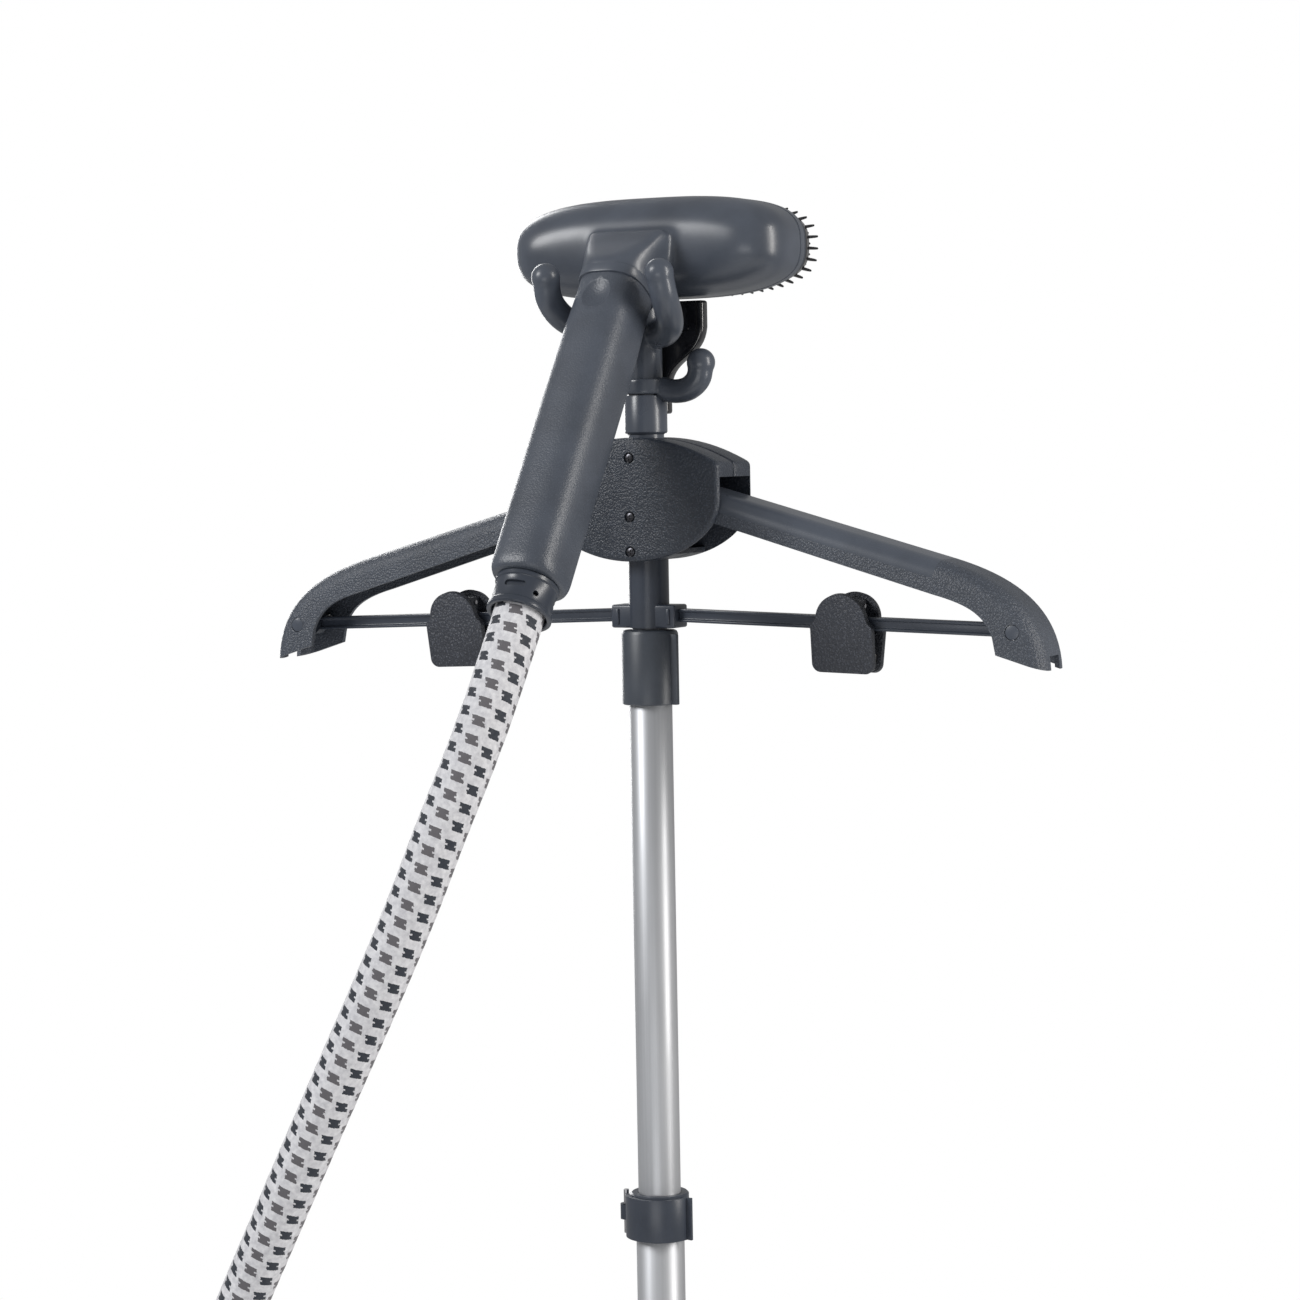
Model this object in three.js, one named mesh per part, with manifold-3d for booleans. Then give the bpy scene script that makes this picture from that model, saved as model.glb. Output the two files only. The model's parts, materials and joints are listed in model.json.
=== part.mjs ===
// Upright garment steamer: floor base, telescopic pole, hanger with trouser clips, steam head in its cradle.
// Millimetres, +Z up. Origin: centre of the base on the floor. X runs along the hanger, -Y is the front.
import * as THREE from 'three';
import { mergeVertices } from 'three/addons/utils/BufferGeometryUtils.js';
import Module from 'manifold-3d';

const wasm = await Module();
wasm.setup();

// ---------------------------------------------------------------- driving dimensions
const GAP = 0.3;                 // clearance between pieces that touch or fit
const WALL = 2.5;                // moulded wall
const HUB_Z = 1300;              // hub centre above the floor
const POLE_Y = 55;               // pole axis behind the base's centre

const BASE = { width: 300, depth: 280, floor: 12, split: 64, top: 214, corner: 46, wall: 3 };
const TANK = { left: -58, right: 138, front: -132, back: -12, bottom: 84, top: 206, corner: 16, hole: 15 };
const BAY_GAP = 3;               // room round the tank in its bay
const WHEEL = { radius: 27, width: 15, y: 104, axle: 4, inset: 3 };
const FOOT = { radius: 15, x: 104, y: -98 };
const BOILER = { radius: 42, height: 72, x: -88, y: 30, z: 36 };
const PUMP = { width: 44, depth: 62, height: 40, x: 70, y: 42, z: 30 };
const DIAL = { radius: 21, height: 15, x: 88, y: 62 };
const BUTTON = { radius: 13, height: 8, x: -100, y: 84 };

const POLE = { outer: 11, wall: 1.2, top: -70, bottom: -660 };            // z from the hub centre
const LOWER = { outer: 12.5, wall: 1.2, bottom: 150, top: 936.7 };
const SOCKET = { wall: 6, bottom: 96, top: 250, flange: 26 };
const CLAMP = { low: 917, high: 941, wall: 2.4, lever: 2.4, pin: 1.4, barrel: 3.2, open: 5 };

const HUB = { half: 50, shoulder: 18.5, top: 32, bottom: 31, depth: 40 };
const ARM = { depth: 34, rootX: 33, tipX: 204.6, tipZ: -65.1, cap: 3.6 };
const BAR = { height: 6.7, depth: 7, innerX: 18.6, innerZ: -59, eye: 6 };
const STEM = { radius: 10.4, neck: 9, flange: 12, lugX: 18.3, lugTop: -53.5, lugBottom: -65.4, depth: 15 };
const COLLAR = { radius: 14.6, top: -66.6, bottom: -104.8, flap: 17.4 };
const SCREWS = [['hub_screw_upper', 21.7], ['hub_screw_middle', -8.2], ['hub_screw_lower', -26]];
const SCREW = { head: 2.3, shank: 1.3, recess: 2.8, boss: 3.6, length: 6 };

const CLIP = { x: 111.5, top: 15, bottom: -25, disc: 13.5, shoulder: 16.5, foot: 16.8, sheet: 2.8 };
const CLIP_TILT = 9.5 * Math.PI / 180;
const CLIP_REACH = 8.6;          // jaw plate in front of the bar's middle plane
const CLIP_PIN = { radius: 1.2, z: 8.6 };
const SLIDER = { half: 6, thick: 2.2, ear: 2.2 };
const PAD = { width: 27, height: 7, thick: 2.9, z: -20 };

const POST = { radius: 9, sleeve: 11, neck: 9.2, sleeveLow: 34, sleeveHigh: 53.4, top: 102.4 };
const HORN = { radius: 6.8, ball: 7.6 };
const HOOK = { radius: 6.2, ball: 7.2, low: 53.8, high: 62 };
const REAR = { front: 12.4, thick: 7, half: 27, top: 101.5, neck: 6, low: 44 };

// The head's front outline is a superellipse of this power; its back edge is rounded over in rows.
const HEAD = {
  half: 77, low: 103, high: 154.6, back: -12, front: 31, round: 22, power: 3, sides: 32, rows: 5,
};
// Insets of the face's parts from the head's outline, and their depths.
const FACE = {
  ring: 1.6, plate: 6.6, backing: 12.6, brush: 4.2, rim: 8, lip: 4, brushDepth: 8, bristle: 5.5, hole: 1.7,
};
const HANDLE = { lean: 34 * Math.PI / 180, y: -126, z: -37.5, width: 36, depth: 38, length: 215, lip: 4 };
const CUFF = { radius: 15.2, ring: 16, length: 18, plug: 9, bore: 13.7 };
const PIPE = 5;                  // steam pipe radius inside the handle
const HOSE = { radius: 12.5, sides: 10, inset: 9 };
const OUTLET = { x: -105, y: -65, tilt: 31 * Math.PI / 180, radius: 16, base: 30 };

// Middle line of the hose, from the cuff to the base: hand-chosen points, absolute.
const HOSE_UPPER = [
  [0, -76.7, 1254], [0, -80.5, 1248.4], [0, -84.5, 1242.5], [-1, -91.8, 1230],
  [-4.5, -101.5, 1208], [-11.5, -111.5, 1180],
  [-22, -120.5, 1148], [-35, -127, 1112], [-51, -132.5, 1074], [-70, -136, 1034], [-90, -137.5, 994],
  [-112, -136.5, 952], [-133, -133.4, 914], [-147.9, -130.3, 884.9], [-153, -129, 874],
];
const HOSE_LOWER = [
  [-153.17, -128.96, 873.63], [-158.1, -127.7, 863.1], [-173, -123.5, 829], [-187, -118, 788],
  [-200, -111, 738], [-208, -104, 686],
  [-212.5, -97, 632], [-213, -91, 576], [-210, -85.5, 522], [-203, -80.5, 470], [-193, -76, 422],
  [-180, -72, 378], [-165, -68.5, 340], [-148, -66.5, 305], [-132, -65.3, 275.5], [-120.6, -65, 256],
  [-109.7, -65, 237.9],
];

// ---------------------------------------------------------------- materials
function finish(color, roughness, metalness = 0, opacity = 1) {
  return new THREE.MeshStandardMaterial({ color, roughness, metalness, opacity, transparent: opacity < 1 });
}
const SLATE = finish(0x565c66, 0.42);
const NAVY = finish(0x2f3642, 0.6);
const BLACK = finish(0x15161a, 0.3);
const PALE = finish(0xc9c8c4, 0.5);
const SILVER = finish(0xb9bbbf, 0.32, 0.9);
const STEEL = finish(0x9b9da1, 0.3, 1);
const CLEAR = finish(0x9fb6c8, 0.12, 0, 0.4);
const CORD = finish(0xe6e6ea, 0.75);
const RUBBER = finish(0x1d1e20, 0.85);

// ---------------------------------------------------------------- solids
function toSolid(geometry) {
  const bare = new THREE.BufferGeometry();
  bare.setAttribute('position', geometry.getAttribute('position').clone());
  if (geometry.index) bare.setIndex(geometry.index.clone());
  const merged = mergeVertices(bare, 1e-4);
  const solid = new wasm.Manifold(new wasm.Mesh({
    numProp: 3,
    vertProperties: new Float32Array(merged.getAttribute('position').array),
    triVerts: new Uint32Array(merged.index.array),
  }));
  return solid;
}
function toGeometry(solid) {
  const mesh = solid.getMesh();
  const geometry = new THREE.BufferGeometry();
  geometry.setAttribute('position', new THREE.BufferAttribute(new Float32Array(mesh.vertProperties), 3));
  geometry.setIndex(new THREE.BufferAttribute(new Uint32Array(mesh.triVerts), 1));
  return geometry;
}
function join(...solids) {
  return solids.reduce((a, b) => a.add(b));
}
function cut(solid, ...tools) {
  return tools.reduce((a, b) => a.subtract(b), solid);
}
// A box from its lowest to its highest corner.
function block(low, high) {
  const size = high.map((v, i) => v - low[i]);
  const geometry = new THREE.BoxGeometry(...size);
  geometry.translate(...low.map((v, i) => v + size[i] / 2));
  return toSolid(geometry);
}
// A lathe about Z from [radius, z] points, the first and last on the axis.
function turned(points, sides = 16) {
  const geometry = new THREE.LatheGeometry(points.map(([r, z]) => new THREE.Vector2(r, z)), sides);
  geometry.rotateX(Math.PI / 2);
  return toSolid(geometry);
}
function rodZ(radius, low, high, x = 0, y = 0, sides = 16) {
  return turned([[0, low], [radius, low], [radius, high], [0, high]], sides).translate([x, y, 0]);
}
function rodY(radius, low, high, x, z, sides = 10) {
  return rodZ(radius, low, high, 0, 0, sides).rotate([-90, 0, 0]).translate([x, 0, z]);
}
function rodX(radius, low, high, y, z, sides = 10) {
  return rodZ(radius, low, high, 0, 0, sides).rotate([0, 90, 0]).translate([0, y, z]);
}
function ringZ(inner, outer, low, high, sides = 16) {
  return cut(rodZ(outer, low, high, 0, 0, sides), rodZ(inner, low - 1, high + 1, 0, 0, sides));
}
function ball(radius, at, rows = 4) {
  const geometry = new THREE.SphereGeometry(radius, rows * 2, rows);
  geometry.translate(...at);
  return toSolid(geometry);
}
function roundedShape(left, right, low, high, radius) {
  const shape = new THREE.Shape();
  shape.moveTo(left + radius, low);
  shape.lineTo(right - radius, low);
  shape.absarc(right - radius, low + radius, radius, -Math.PI / 2, 0);
  shape.lineTo(right, high - radius);
  shape.absarc(right - radius, high - radius, radius, 0, Math.PI / 2);
  shape.lineTo(left + radius, high);
  shape.absarc(left + radius, high - radius, radius, Math.PI / 2, Math.PI);
  shape.lineTo(left, low + radius);
  shape.absarc(left + radius, low + radius, radius, Math.PI, Math.PI * 1.5);
  return shape;
}
// An outline in XY raised from low to high.
function raised(shape, low, high, curveSegments = 3) {
  const depth = high - low;
  const geometry = new THREE.ExtrudeGeometry(shape, { depth, bevelEnabled: false, curveSegments });
  geometry.translate(0, 0, low);
  return toSolid(geometry);
}
// An outline in XZ run through Y from front to back.
function slab(shape, front, back, curveSegments = 3) {
  const depth = back - front;
  const geometry = new THREE.ExtrudeGeometry(shape, { depth, bevelEnabled: false, curveSegments });
  geometry.rotateX(Math.PI / 2);
  geometry.translate(0, back, 0);
  return toSolid(geometry);
}
function swept(points, radius, sides, steps, tension = 0.5) {
  const places = points.map((point) => new THREE.Vector3(...point));
  const curve = new THREE.CatmullRomCurve3(places, false, 'centripetal', tension);
  const section = new THREE.Shape();
  for (let i = 0; i < sides; i += 1) {
    const angle = (i / sides) * Math.PI * 2;
    const put = i === 0 ? 'moveTo' : 'lineTo';
    section[put](radius * Math.cos(angle), radius * Math.sin(angle));
  }
  return toSolid(new THREE.ExtrudeGeometry(section, { extrudePath: curve, steps, bevelEnabled: false }));
}

// ---------------------------------------------------------------- scene graph
const steamer = new THREE.Group();
const top = new THREE.Group();
top.position.set(0, POLE_Y, HUB_Z);
steamer.add(top);
const head = new THREE.Group();
top.add(head);
const handleFrame = new THREE.Group();
handleFrame.position.set(0, HANDLE.y, HANDLE.z);
handleFrame.rotation.x = -HANDLE.lean;
head.add(handleFrame);

function place(parent, name, solid, material) {
  const mesh = new THREE.Mesh(toGeometry(solid), material);
  mesh.name = name;
  parent.add(mesh);
  return mesh;
}

// ---------------------------------------------------------------- base
function baseOutline(inset) {
  const x = BASE.width / 2 - inset;
  const y = BASE.depth / 2 - inset;
  return roundedShape(-x, x, -y, y, BASE.corner - inset);
}
const wheelX = BASE.width / 2 - WHEEL.inset;
function wheelWells() {
  const clear = WHEEL.radius + 4;
  return [-1, 1].map((side) => block(
    [Math.min(side * (wheelX - WHEEL.width - 3), side * (BASE.width / 2 + 1)), WHEEL.y - clear, -1],
    [
      Math.max(side * (wheelX - WHEEL.width - 3), side * (BASE.width / 2 + 1)),
      WHEEL.y + clear, BASE.split - 4,
    ],
  ));
}
function basePan() {
  const floor = BASE.floor + BASE.wall;
  const shell = cut(
    raised(baseOutline(0), BASE.floor, BASE.split),
    raised(baseOutline(BASE.wall), floor, BASE.split + 1),
  );
  const wellX = wheelX - WHEEL.width - 3;
  const bosses = [-1, 1].map((side) => block(
    [Math.min(side * (wellX - 12), side * wellX), WHEEL.y - 9, BASE.floor],
    [Math.max(side * (wellX - 12), side * wellX), WHEEL.y + 9, WHEEL.radius + 9],
  ));
  const seats = [
    ringZ(16, 24, floor - 1, BOILER.z - GAP).translate([BOILER.x, BOILER.y, 0]),
    block([PUMP.x - 15, PUMP.y - 20, floor - 1], [PUMP.x + 15, PUMP.y + 20, PUMP.z - GAP]),
  ];
  return cut(
    join(shell, ...bosses, ...seats),
    ...wheelWells(),
    rodX(WHEEL.axle + GAP, -BASE.width, BASE.width, WHEEL.y, WHEEL.radius),
    rodY(7 + GAP, BASE.depth / 2 - 12, BASE.depth / 2 + 4, -40, 42),
    ...[-1, 1].map((side) => rodZ(4 + GAP, 0, floor + 1, side * FOOT.x, FOOT.y, 16)),
  );
}
// Open space for the tank, through the front and the right side.
function bayBox() {
  return block(
    [TANK.left - BAY_GAP, -BASE.depth, TANK.bottom - BAY_GAP],
    [BASE.width, TANK.back + BAY_GAP, BASE.top + 20],
  );
}
function topCover() {
  const roof = BASE.top - BASE.wall;
  const outer = raised(baseOutline(0), BASE.split + GAP, BASE.top);
  const inner = raised(baseOutline(BASE.wall), BASE.split, roof);
  const bay = bayBox();
  const bayWalls = block(
    [TANK.left - BAY_GAP - BASE.wall, -BASE.depth, TANK.bottom - BAY_GAP - BASE.wall],
    [BASE.width, TANK.back + BAY_GAP + BASE.wall, BASE.top + 20],
  );
  return cut(
    outer,
    cut(inner, bayWalls),
    bay,
    rodZ(LOWER.outer + SOCKET.wall + GAP, 0, 400, 0, POLE_Y),
    rodZ(12, roof - 4, 400, OUTLET.x, OUTLET.y),
    rodZ(5 + GAP, roof - 4, 400, DIAL.x, DIAL.y, 20),
    rodZ(BUTTON.radius + GAP, roof - 4, 400, BUTTON.x, BUTTON.y),
    rodZ(9, 0, TANK.bottom, valveX, valveY, 20),
  );
}
const valveX = (TANK.left + TANK.right) / 2;
const valveY = (TANK.front + TANK.back) / 2;
function tankShape(inset) {
  return roundedShape(
    TANK.left + inset, TANK.right - inset, TANK.front + inset, TANK.back - inset, TANK.corner - inset,
  );
}
function waterTank() {
  const grip = block(
    [TANK.right - 46, valveY - 26, TANK.top - 3], [TANK.right - 24, valveY + 26, TANK.top + 1],
  );
  return cut(
    join(
      cut(
        raised(tankShape(0), TANK.bottom, TANK.top, 2),
        raised(tankShape(WALL), TANK.bottom + WALL, TANK.top - WALL, 2),
      ),
      ringZ(TANK.hole, TANK.hole + 2.5, TANK.top - 1, TANK.top + 4).translate([TANK.left + 40, valveY, 0]),
      rodZ(9, TANK.bottom, TANK.bottom + WALL + 2, valveX, valveY, 20),
      block([TANK.right - 49, valveY - 29, TANK.top - 6], [TANK.right - 21, valveY + 29, TANK.top - 1]),
    ),
    grip,
    rodZ(TANK.hole, TANK.top - 8, TANK.top + 8, TANK.left + 40, valveY),
    rodZ(5 + GAP, TANK.bottom - 1, TANK.bottom + 9, valveX, valveY, 20),
  );
}
function tankCap() {
  const low = TANK.top + 4 + GAP;
  const knurls = [];
  for (let i = 0; i < 6; i += 1) {
    knurls.push(block([-1.5, TANK.hole + 3, low], [1.5, TANK.hole + 5.5, low + 8]).rotate([0, 0, i * 60]));
  }
  const cap = join(
    turned([
      [0, low], [TANK.hole + 4, low], [TANK.hole + 4, low + 8], [TANK.hole + 2, low + 10], [0, low + 10],
    ]),
    rodZ(TANK.hole - GAP, TANK.top - 1, low + 1),
    ...knurls,
  );
  return cap.translate([TANK.left + 40, valveY, 0]);
}
function wheel() {
  const hub = ringZ(WHEEL.axle + GAP, 8, 0, WHEEL.width, 18);
  const web = ringZ(7, WHEEL.radius - 5, 4, WHEEL.width - 4, 18);
  const tyre = turned([
    [0, 0], [WHEEL.radius - 2, 0], [WHEEL.radius, 2],
    [WHEEL.radius, WHEEL.width - 2], [WHEEL.radius - 2, WHEEL.width], [0, WHEEL.width],
  ], 18);
  return join(hub, web, cut(tyre, rodZ(WHEEL.radius - 6, -1, WHEEL.width + 1, 0, 0, 18)));
}
function wheelAt(side) {
  const inner = side * wheelX - (side > 0 ? WHEEL.width : 0);
  return wheel().rotate([0, 90, 0]).translate([inner, WHEEL.y, WHEEL.radius]);
}
function hoseSocket() {
  const nozzle = cut(
    turned([
      [0, -8], [OUTLET.radius + 3, -8], [OUTLET.radius + 3, 3], [OUTLET.radius, 6],
      [OUTLET.radius, OUTLET.base], [0, OUTLET.base],
    ]),
    rodZ(HOSE.radius + GAP + 0.2, 8, OUTLET.base + 1),
    rodZ(PIPE, -20, 10, 0, 0, 16),
  ).rotate([0, -OUTLET.tilt * 180 / Math.PI, 0]).translate([OUTLET.x, OUTLET.y, BASE.top + 16]);
  const foot = cut(
    turned([
      [0, BASE.top + GAP], [26, BASE.top + GAP], [24, BASE.top + 9], [20, BASE.top + 20], [0, BASE.top + 20],
    ])
      .translate([OUTLET.x, OUTLET.y, 0]),
    rodZ(HOSE.radius + GAP + 0.2, 8, OUTLET.base + 1)
      .rotate([0, -OUTLET.tilt * 180 / Math.PI, 0]).translate([OUTLET.x, OUTLET.y, BASE.top + 16]),
  );
  const spigot = rodZ(11, BASE.top - 8, BASE.top + 4, OUTLET.x, OUTLET.y);
  const above = cut(join(nozzle, foot), block([-400, -400, 0], [400, 400, BASE.top + GAP]));
  return cut(join(above, spigot), rodZ(PIPE, BASE.top - 20, BASE.top + 24, OUTLET.x, OUTLET.y, 16));
}
function buildBase() {
  place(steamer, 'base_pan', basePan(), NAVY);
  place(steamer, 'top_cover', topCover(), SLATE);
  place(steamer, 'water_tank', waterTank(), CLEAR);
  place(steamer, 'tank_cap', tankCap(), NAVY);
  place(steamer, 'tank_valve', join(
    rodZ(5, TANK.bottom - 9, TANK.bottom + 6, valveX, valveY, 20),
    rodZ(8, TANK.bottom - 3 + GAP, TANK.bottom - GAP, valveX, valveY, 20),
  ), BLACK);
  place(steamer, 'boiler', join(
    turned([
      [0, BOILER.z], [BOILER.radius - 6, BOILER.z], [BOILER.radius, BOILER.z + 6],
      [BOILER.radius, BOILER.z + BOILER.height - 8], [BOILER.radius - 8, BOILER.z + BOILER.height],
      [0, BOILER.z + BOILER.height],
    ], 20).translate([BOILER.x, BOILER.y, 0]),
    ringZ(BOILER.radius - 1, BOILER.radius + 4, BOILER.z + 30, BOILER.z + 34)
      .translate([BOILER.x, BOILER.y, 0]),
  ), STEEL);
  place(steamer, 'pump', join(
    block(
      [PUMP.x - PUMP.width / 2, PUMP.y - PUMP.depth / 2, PUMP.z],
      [PUMP.x + PUMP.width / 2, PUMP.y + PUMP.depth / 2, PUMP.z + PUMP.height],
    ),
    rodX(12, PUMP.x - PUMP.width / 2 - 12, PUMP.x, PUMP.y, PUMP.z + PUMP.height / 2),
  ), BLACK);
  place(steamer, 'feed_tube', swept([
    [valveX, valveY, TANK.bottom - 9 - GAP], [valveX, valveY, TANK.bottom - 14],
    [valveX, valveY + 6, 56], [valveX + 12, valveY + 30, 44],
    [PUMP.x, PUMP.y - PUMP.depth / 2 - 14, 46], [PUMP.x, PUMP.y - PUMP.depth / 2 - GAP, 46],
  ], 4, 8, 12), CORD);
  place(steamer, 'steam_outlet_tube', swept([
    [BOILER.x, BOILER.y, BOILER.z + BOILER.height + GAP], [BOILER.x, BOILER.y, BOILER.z + BOILER.height + 9],
    [BOILER.x - 8, -20, 160], [OUTLET.x, OUTLET.y + 3, 180], [OUTLET.x, OUTLET.y, 195],
    [OUTLET.x, OUTLET.y, BASE.top - 8 - GAP],
  ], 7, 8, 14), CORD);
  place(steamer, 'pole_socket', join(
    ringZ(LOWER.outer + GAP, LOWER.outer + SOCKET.wall, SOCKET.bottom, SOCKET.top),
    ringZ(LOWER.outer + SOCKET.wall - 1, SOCKET.flange, BASE.top + GAP, BASE.top + 6),
    rodZ(LOWER.outer + SOCKET.wall, BASE.floor + BASE.wall + GAP, LOWER.bottom - GAP),
  ).translate([0, POLE_Y, 0]), NAVY);
  place(steamer, 'dial', cut(
    join(
      turned([
        [0, BASE.top + GAP], [DIAL.radius, BASE.top + GAP], [DIAL.radius - 1.5, BASE.top + DIAL.height],
        [0, BASE.top + DIAL.height],
      ], 20),
      rodZ(5, BASE.top - 8, BASE.top + 2, 0, 0, 20),
    ),
    block([-1.2, DIAL.radius * 0.35, BASE.top + DIAL.height - 1.2], [1.2, DIAL.radius + 1, BASE.top + 30]),
  ).translate([DIAL.x, DIAL.y, 0]), BLACK);
  place(steamer, 'power_button', turned([
    [0, BASE.top - 6], [BUTTON.radius, BASE.top - 6], [BUTTON.radius, BASE.top + BUTTON.height - 3],
    [BUTTON.radius - 2, BASE.top + BUTTON.height - 1], [0, BASE.top + BUTTON.height],
  ]).translate([BUTTON.x, BUTTON.y, 0]), PALE);
  place(steamer, 'axle', rodX(WHEEL.axle, -wheelX + 2, wheelX - 2, WHEEL.y, WHEEL.radius), STEEL);
  place(steamer, 'wheel_left', wheelAt(-1), RUBBER);
  place(steamer, 'wheel_right', wheelAt(1), RUBBER);
  for (const [name, side] of [['foot_left', -1], ['foot_right', 1]]) {
    place(steamer, name, join(
      turned([
        [0, 0], [FOOT.radius - 2, 0], [FOOT.radius, 2], [FOOT.radius, BASE.floor - GAP],
        [0, BASE.floor - GAP],
      ]),
      rodZ(4, BASE.floor - 1, BASE.floor + BASE.wall + 1, 0, 0, 16),
    ).translate([side * FOOT.x, FOOT.y, 0]), RUBBER);
  }
  place(steamer, 'cable_gland', cut(
    join(
      rodY(7, BASE.depth / 2 - 14, BASE.depth / 2 - 0.5, -40, 42),
      rodY(10, BASE.depth / 2 - 14, BASE.depth / 2 - BASE.wall - GAP, -40, 42),
    ),
    rodY(3.6, BASE.depth / 2 - 20, BASE.depth / 2 + 1, -40, 42, 12),
  ), RUBBER);
  place(steamer, 'hose_socket', hoseSocket(), NAVY);
}

// ---------------------------------------------------------------- pole and clamp
function buildPole() {
  place(steamer, 'lower_pole', ringZ(LOWER.outer - LOWER.wall, LOWER.outer, LOWER.bottom, LOWER.top, 24)
    .translate([0, POLE_Y, 0]), SILVER);
  place(top, 'upper_pole', ringZ(POLE.outer - POLE.wall, POLE.outer, POLE.bottom, POLE.top, 24), SILVER);
  const inner = LOWER.outer + GAP;
  const outer = inner + CLAMP.wall;
  const pinX = -(outer + CLAMP.barrel + 1.2);
  const middle = (CLAMP.low + CLAMP.high) / 2;
  const third = (CLAMP.high - CLAMP.low) / 3;
  const band = cut(
    join(
      rodZ(outer, CLAMP.low, CLAMP.high, 0, 0, 24),
      block([pinX, -3.2, CLAMP.low], [-outer + 2, 6, CLAMP.high]),
      rodZ(CLAMP.barrel, CLAMP.low, CLAMP.high, pinX, 0, 20),
    ),
    rodZ(inner, CLAMP.low - 1, LOWER.top + GAP, 0, 0, 24),
    rodZ(POLE.outer + GAP, CLAMP.low, CLAMP.high + 1, 0, 0, 24),
    cut(
      block([pinX - 9, -9, middle - third / 2 - GAP], [-outer + 3, 3.6, middle + third / 2 + GAP]),
      rodZ(outer, CLAMP.low, CLAMP.high, 0, 0, 24),
    ),
    rodZ(CLAMP.pin + GAP, CLAMP.low - 1, CLAMP.high + 1, pinX, 0, 16),
  );
  place(steamer, 'clamp_band', band.translate([0, POLE_Y, 0]), NAVY);
  place(steamer, 'clamp_pin', rodZ(CLAMP.pin, CLAMP.low + 0.5, CLAMP.high - 0.5, pinX, POLE_Y, 16), STEEL);
  const leverIn = outer + GAP;
  const leverOut = leverIn + CLAMP.lever;
  const wedge = new THREE.Shape([[0, 0], [-40, 4], [-40, -40], [40, -40], [40, -4]]
    .map(([x, y]) => new THREE.Vector2(x, y)));
  const arc = cut(ringZ(leverIn, leverOut, CLAMP.low + 1, CLAMP.high - 1, 28), block(
    [-60, 0, CLAMP.low - 5], [60, 60, CLAMP.high + 5],
  )).intersect(raised(wedge, CLAMP.low - 5, CLAMP.high + 5));
  const clearHinge = [
    block([pinX - 9, -6.5, CLAMP.low - 1], [-outer + 2.6, 7, middle - third / 2]),
    block([pinX - 9, -6.5, middle + third / 2], [-outer + 2.6, 7, CLAMP.high + 1]),
  ];
  const lip = block([leverIn - 0.2, -5.2, CLAMP.low + 1], [leverOut + CLAMP.open / 2, -2.6, CLAMP.high - 1]);
  const lever = cut(
    join(
      cut(arc, ...clearHinge),
      rodZ(CLAMP.barrel, middle - third / 2, middle + third / 2, pinX, 0, 20),
      block([pinX - 0.5, -3.2, middle - third / 2], [-leverIn + 3.4, -1.2, middle + third / 2]),
      lip,
    ),
    rodZ(outer + GAP, CLAMP.low, CLAMP.high, 0, 0, 28),
    rodZ(CLAMP.pin + GAP, CLAMP.low - 1, CLAMP.high + 1, pinX, 0, 16),
  );
  place(steamer, 'clamp_lever', lever.translate([0, POLE_Y, 0]), NAVY);
  place(top, 'collar', cut(
    join(
      turned([
        [0, COLLAR.bottom], [COLLAR.radius, COLLAR.bottom], [COLLAR.radius, COLLAR.top - 1.5],
        [COLLAR.radius - 1.5, COLLAR.top], [0, COLLAR.top],
      ], 24),
      block([0, -4, COLLAR.bottom], [COLLAR.flap, -1.5, COLLAR.top - 2]),
    ),
    rodZ(POLE.outer + GAP, COLLAR.bottom - 1, POLE.top + GAP, 0, 0, 24),
    rodZ(STEM.neck + GAP + 0.2, COLLAR.bottom - 1, COLLAR.top + 1, 0, 0, 28),
  ), SLATE);
}

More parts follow.
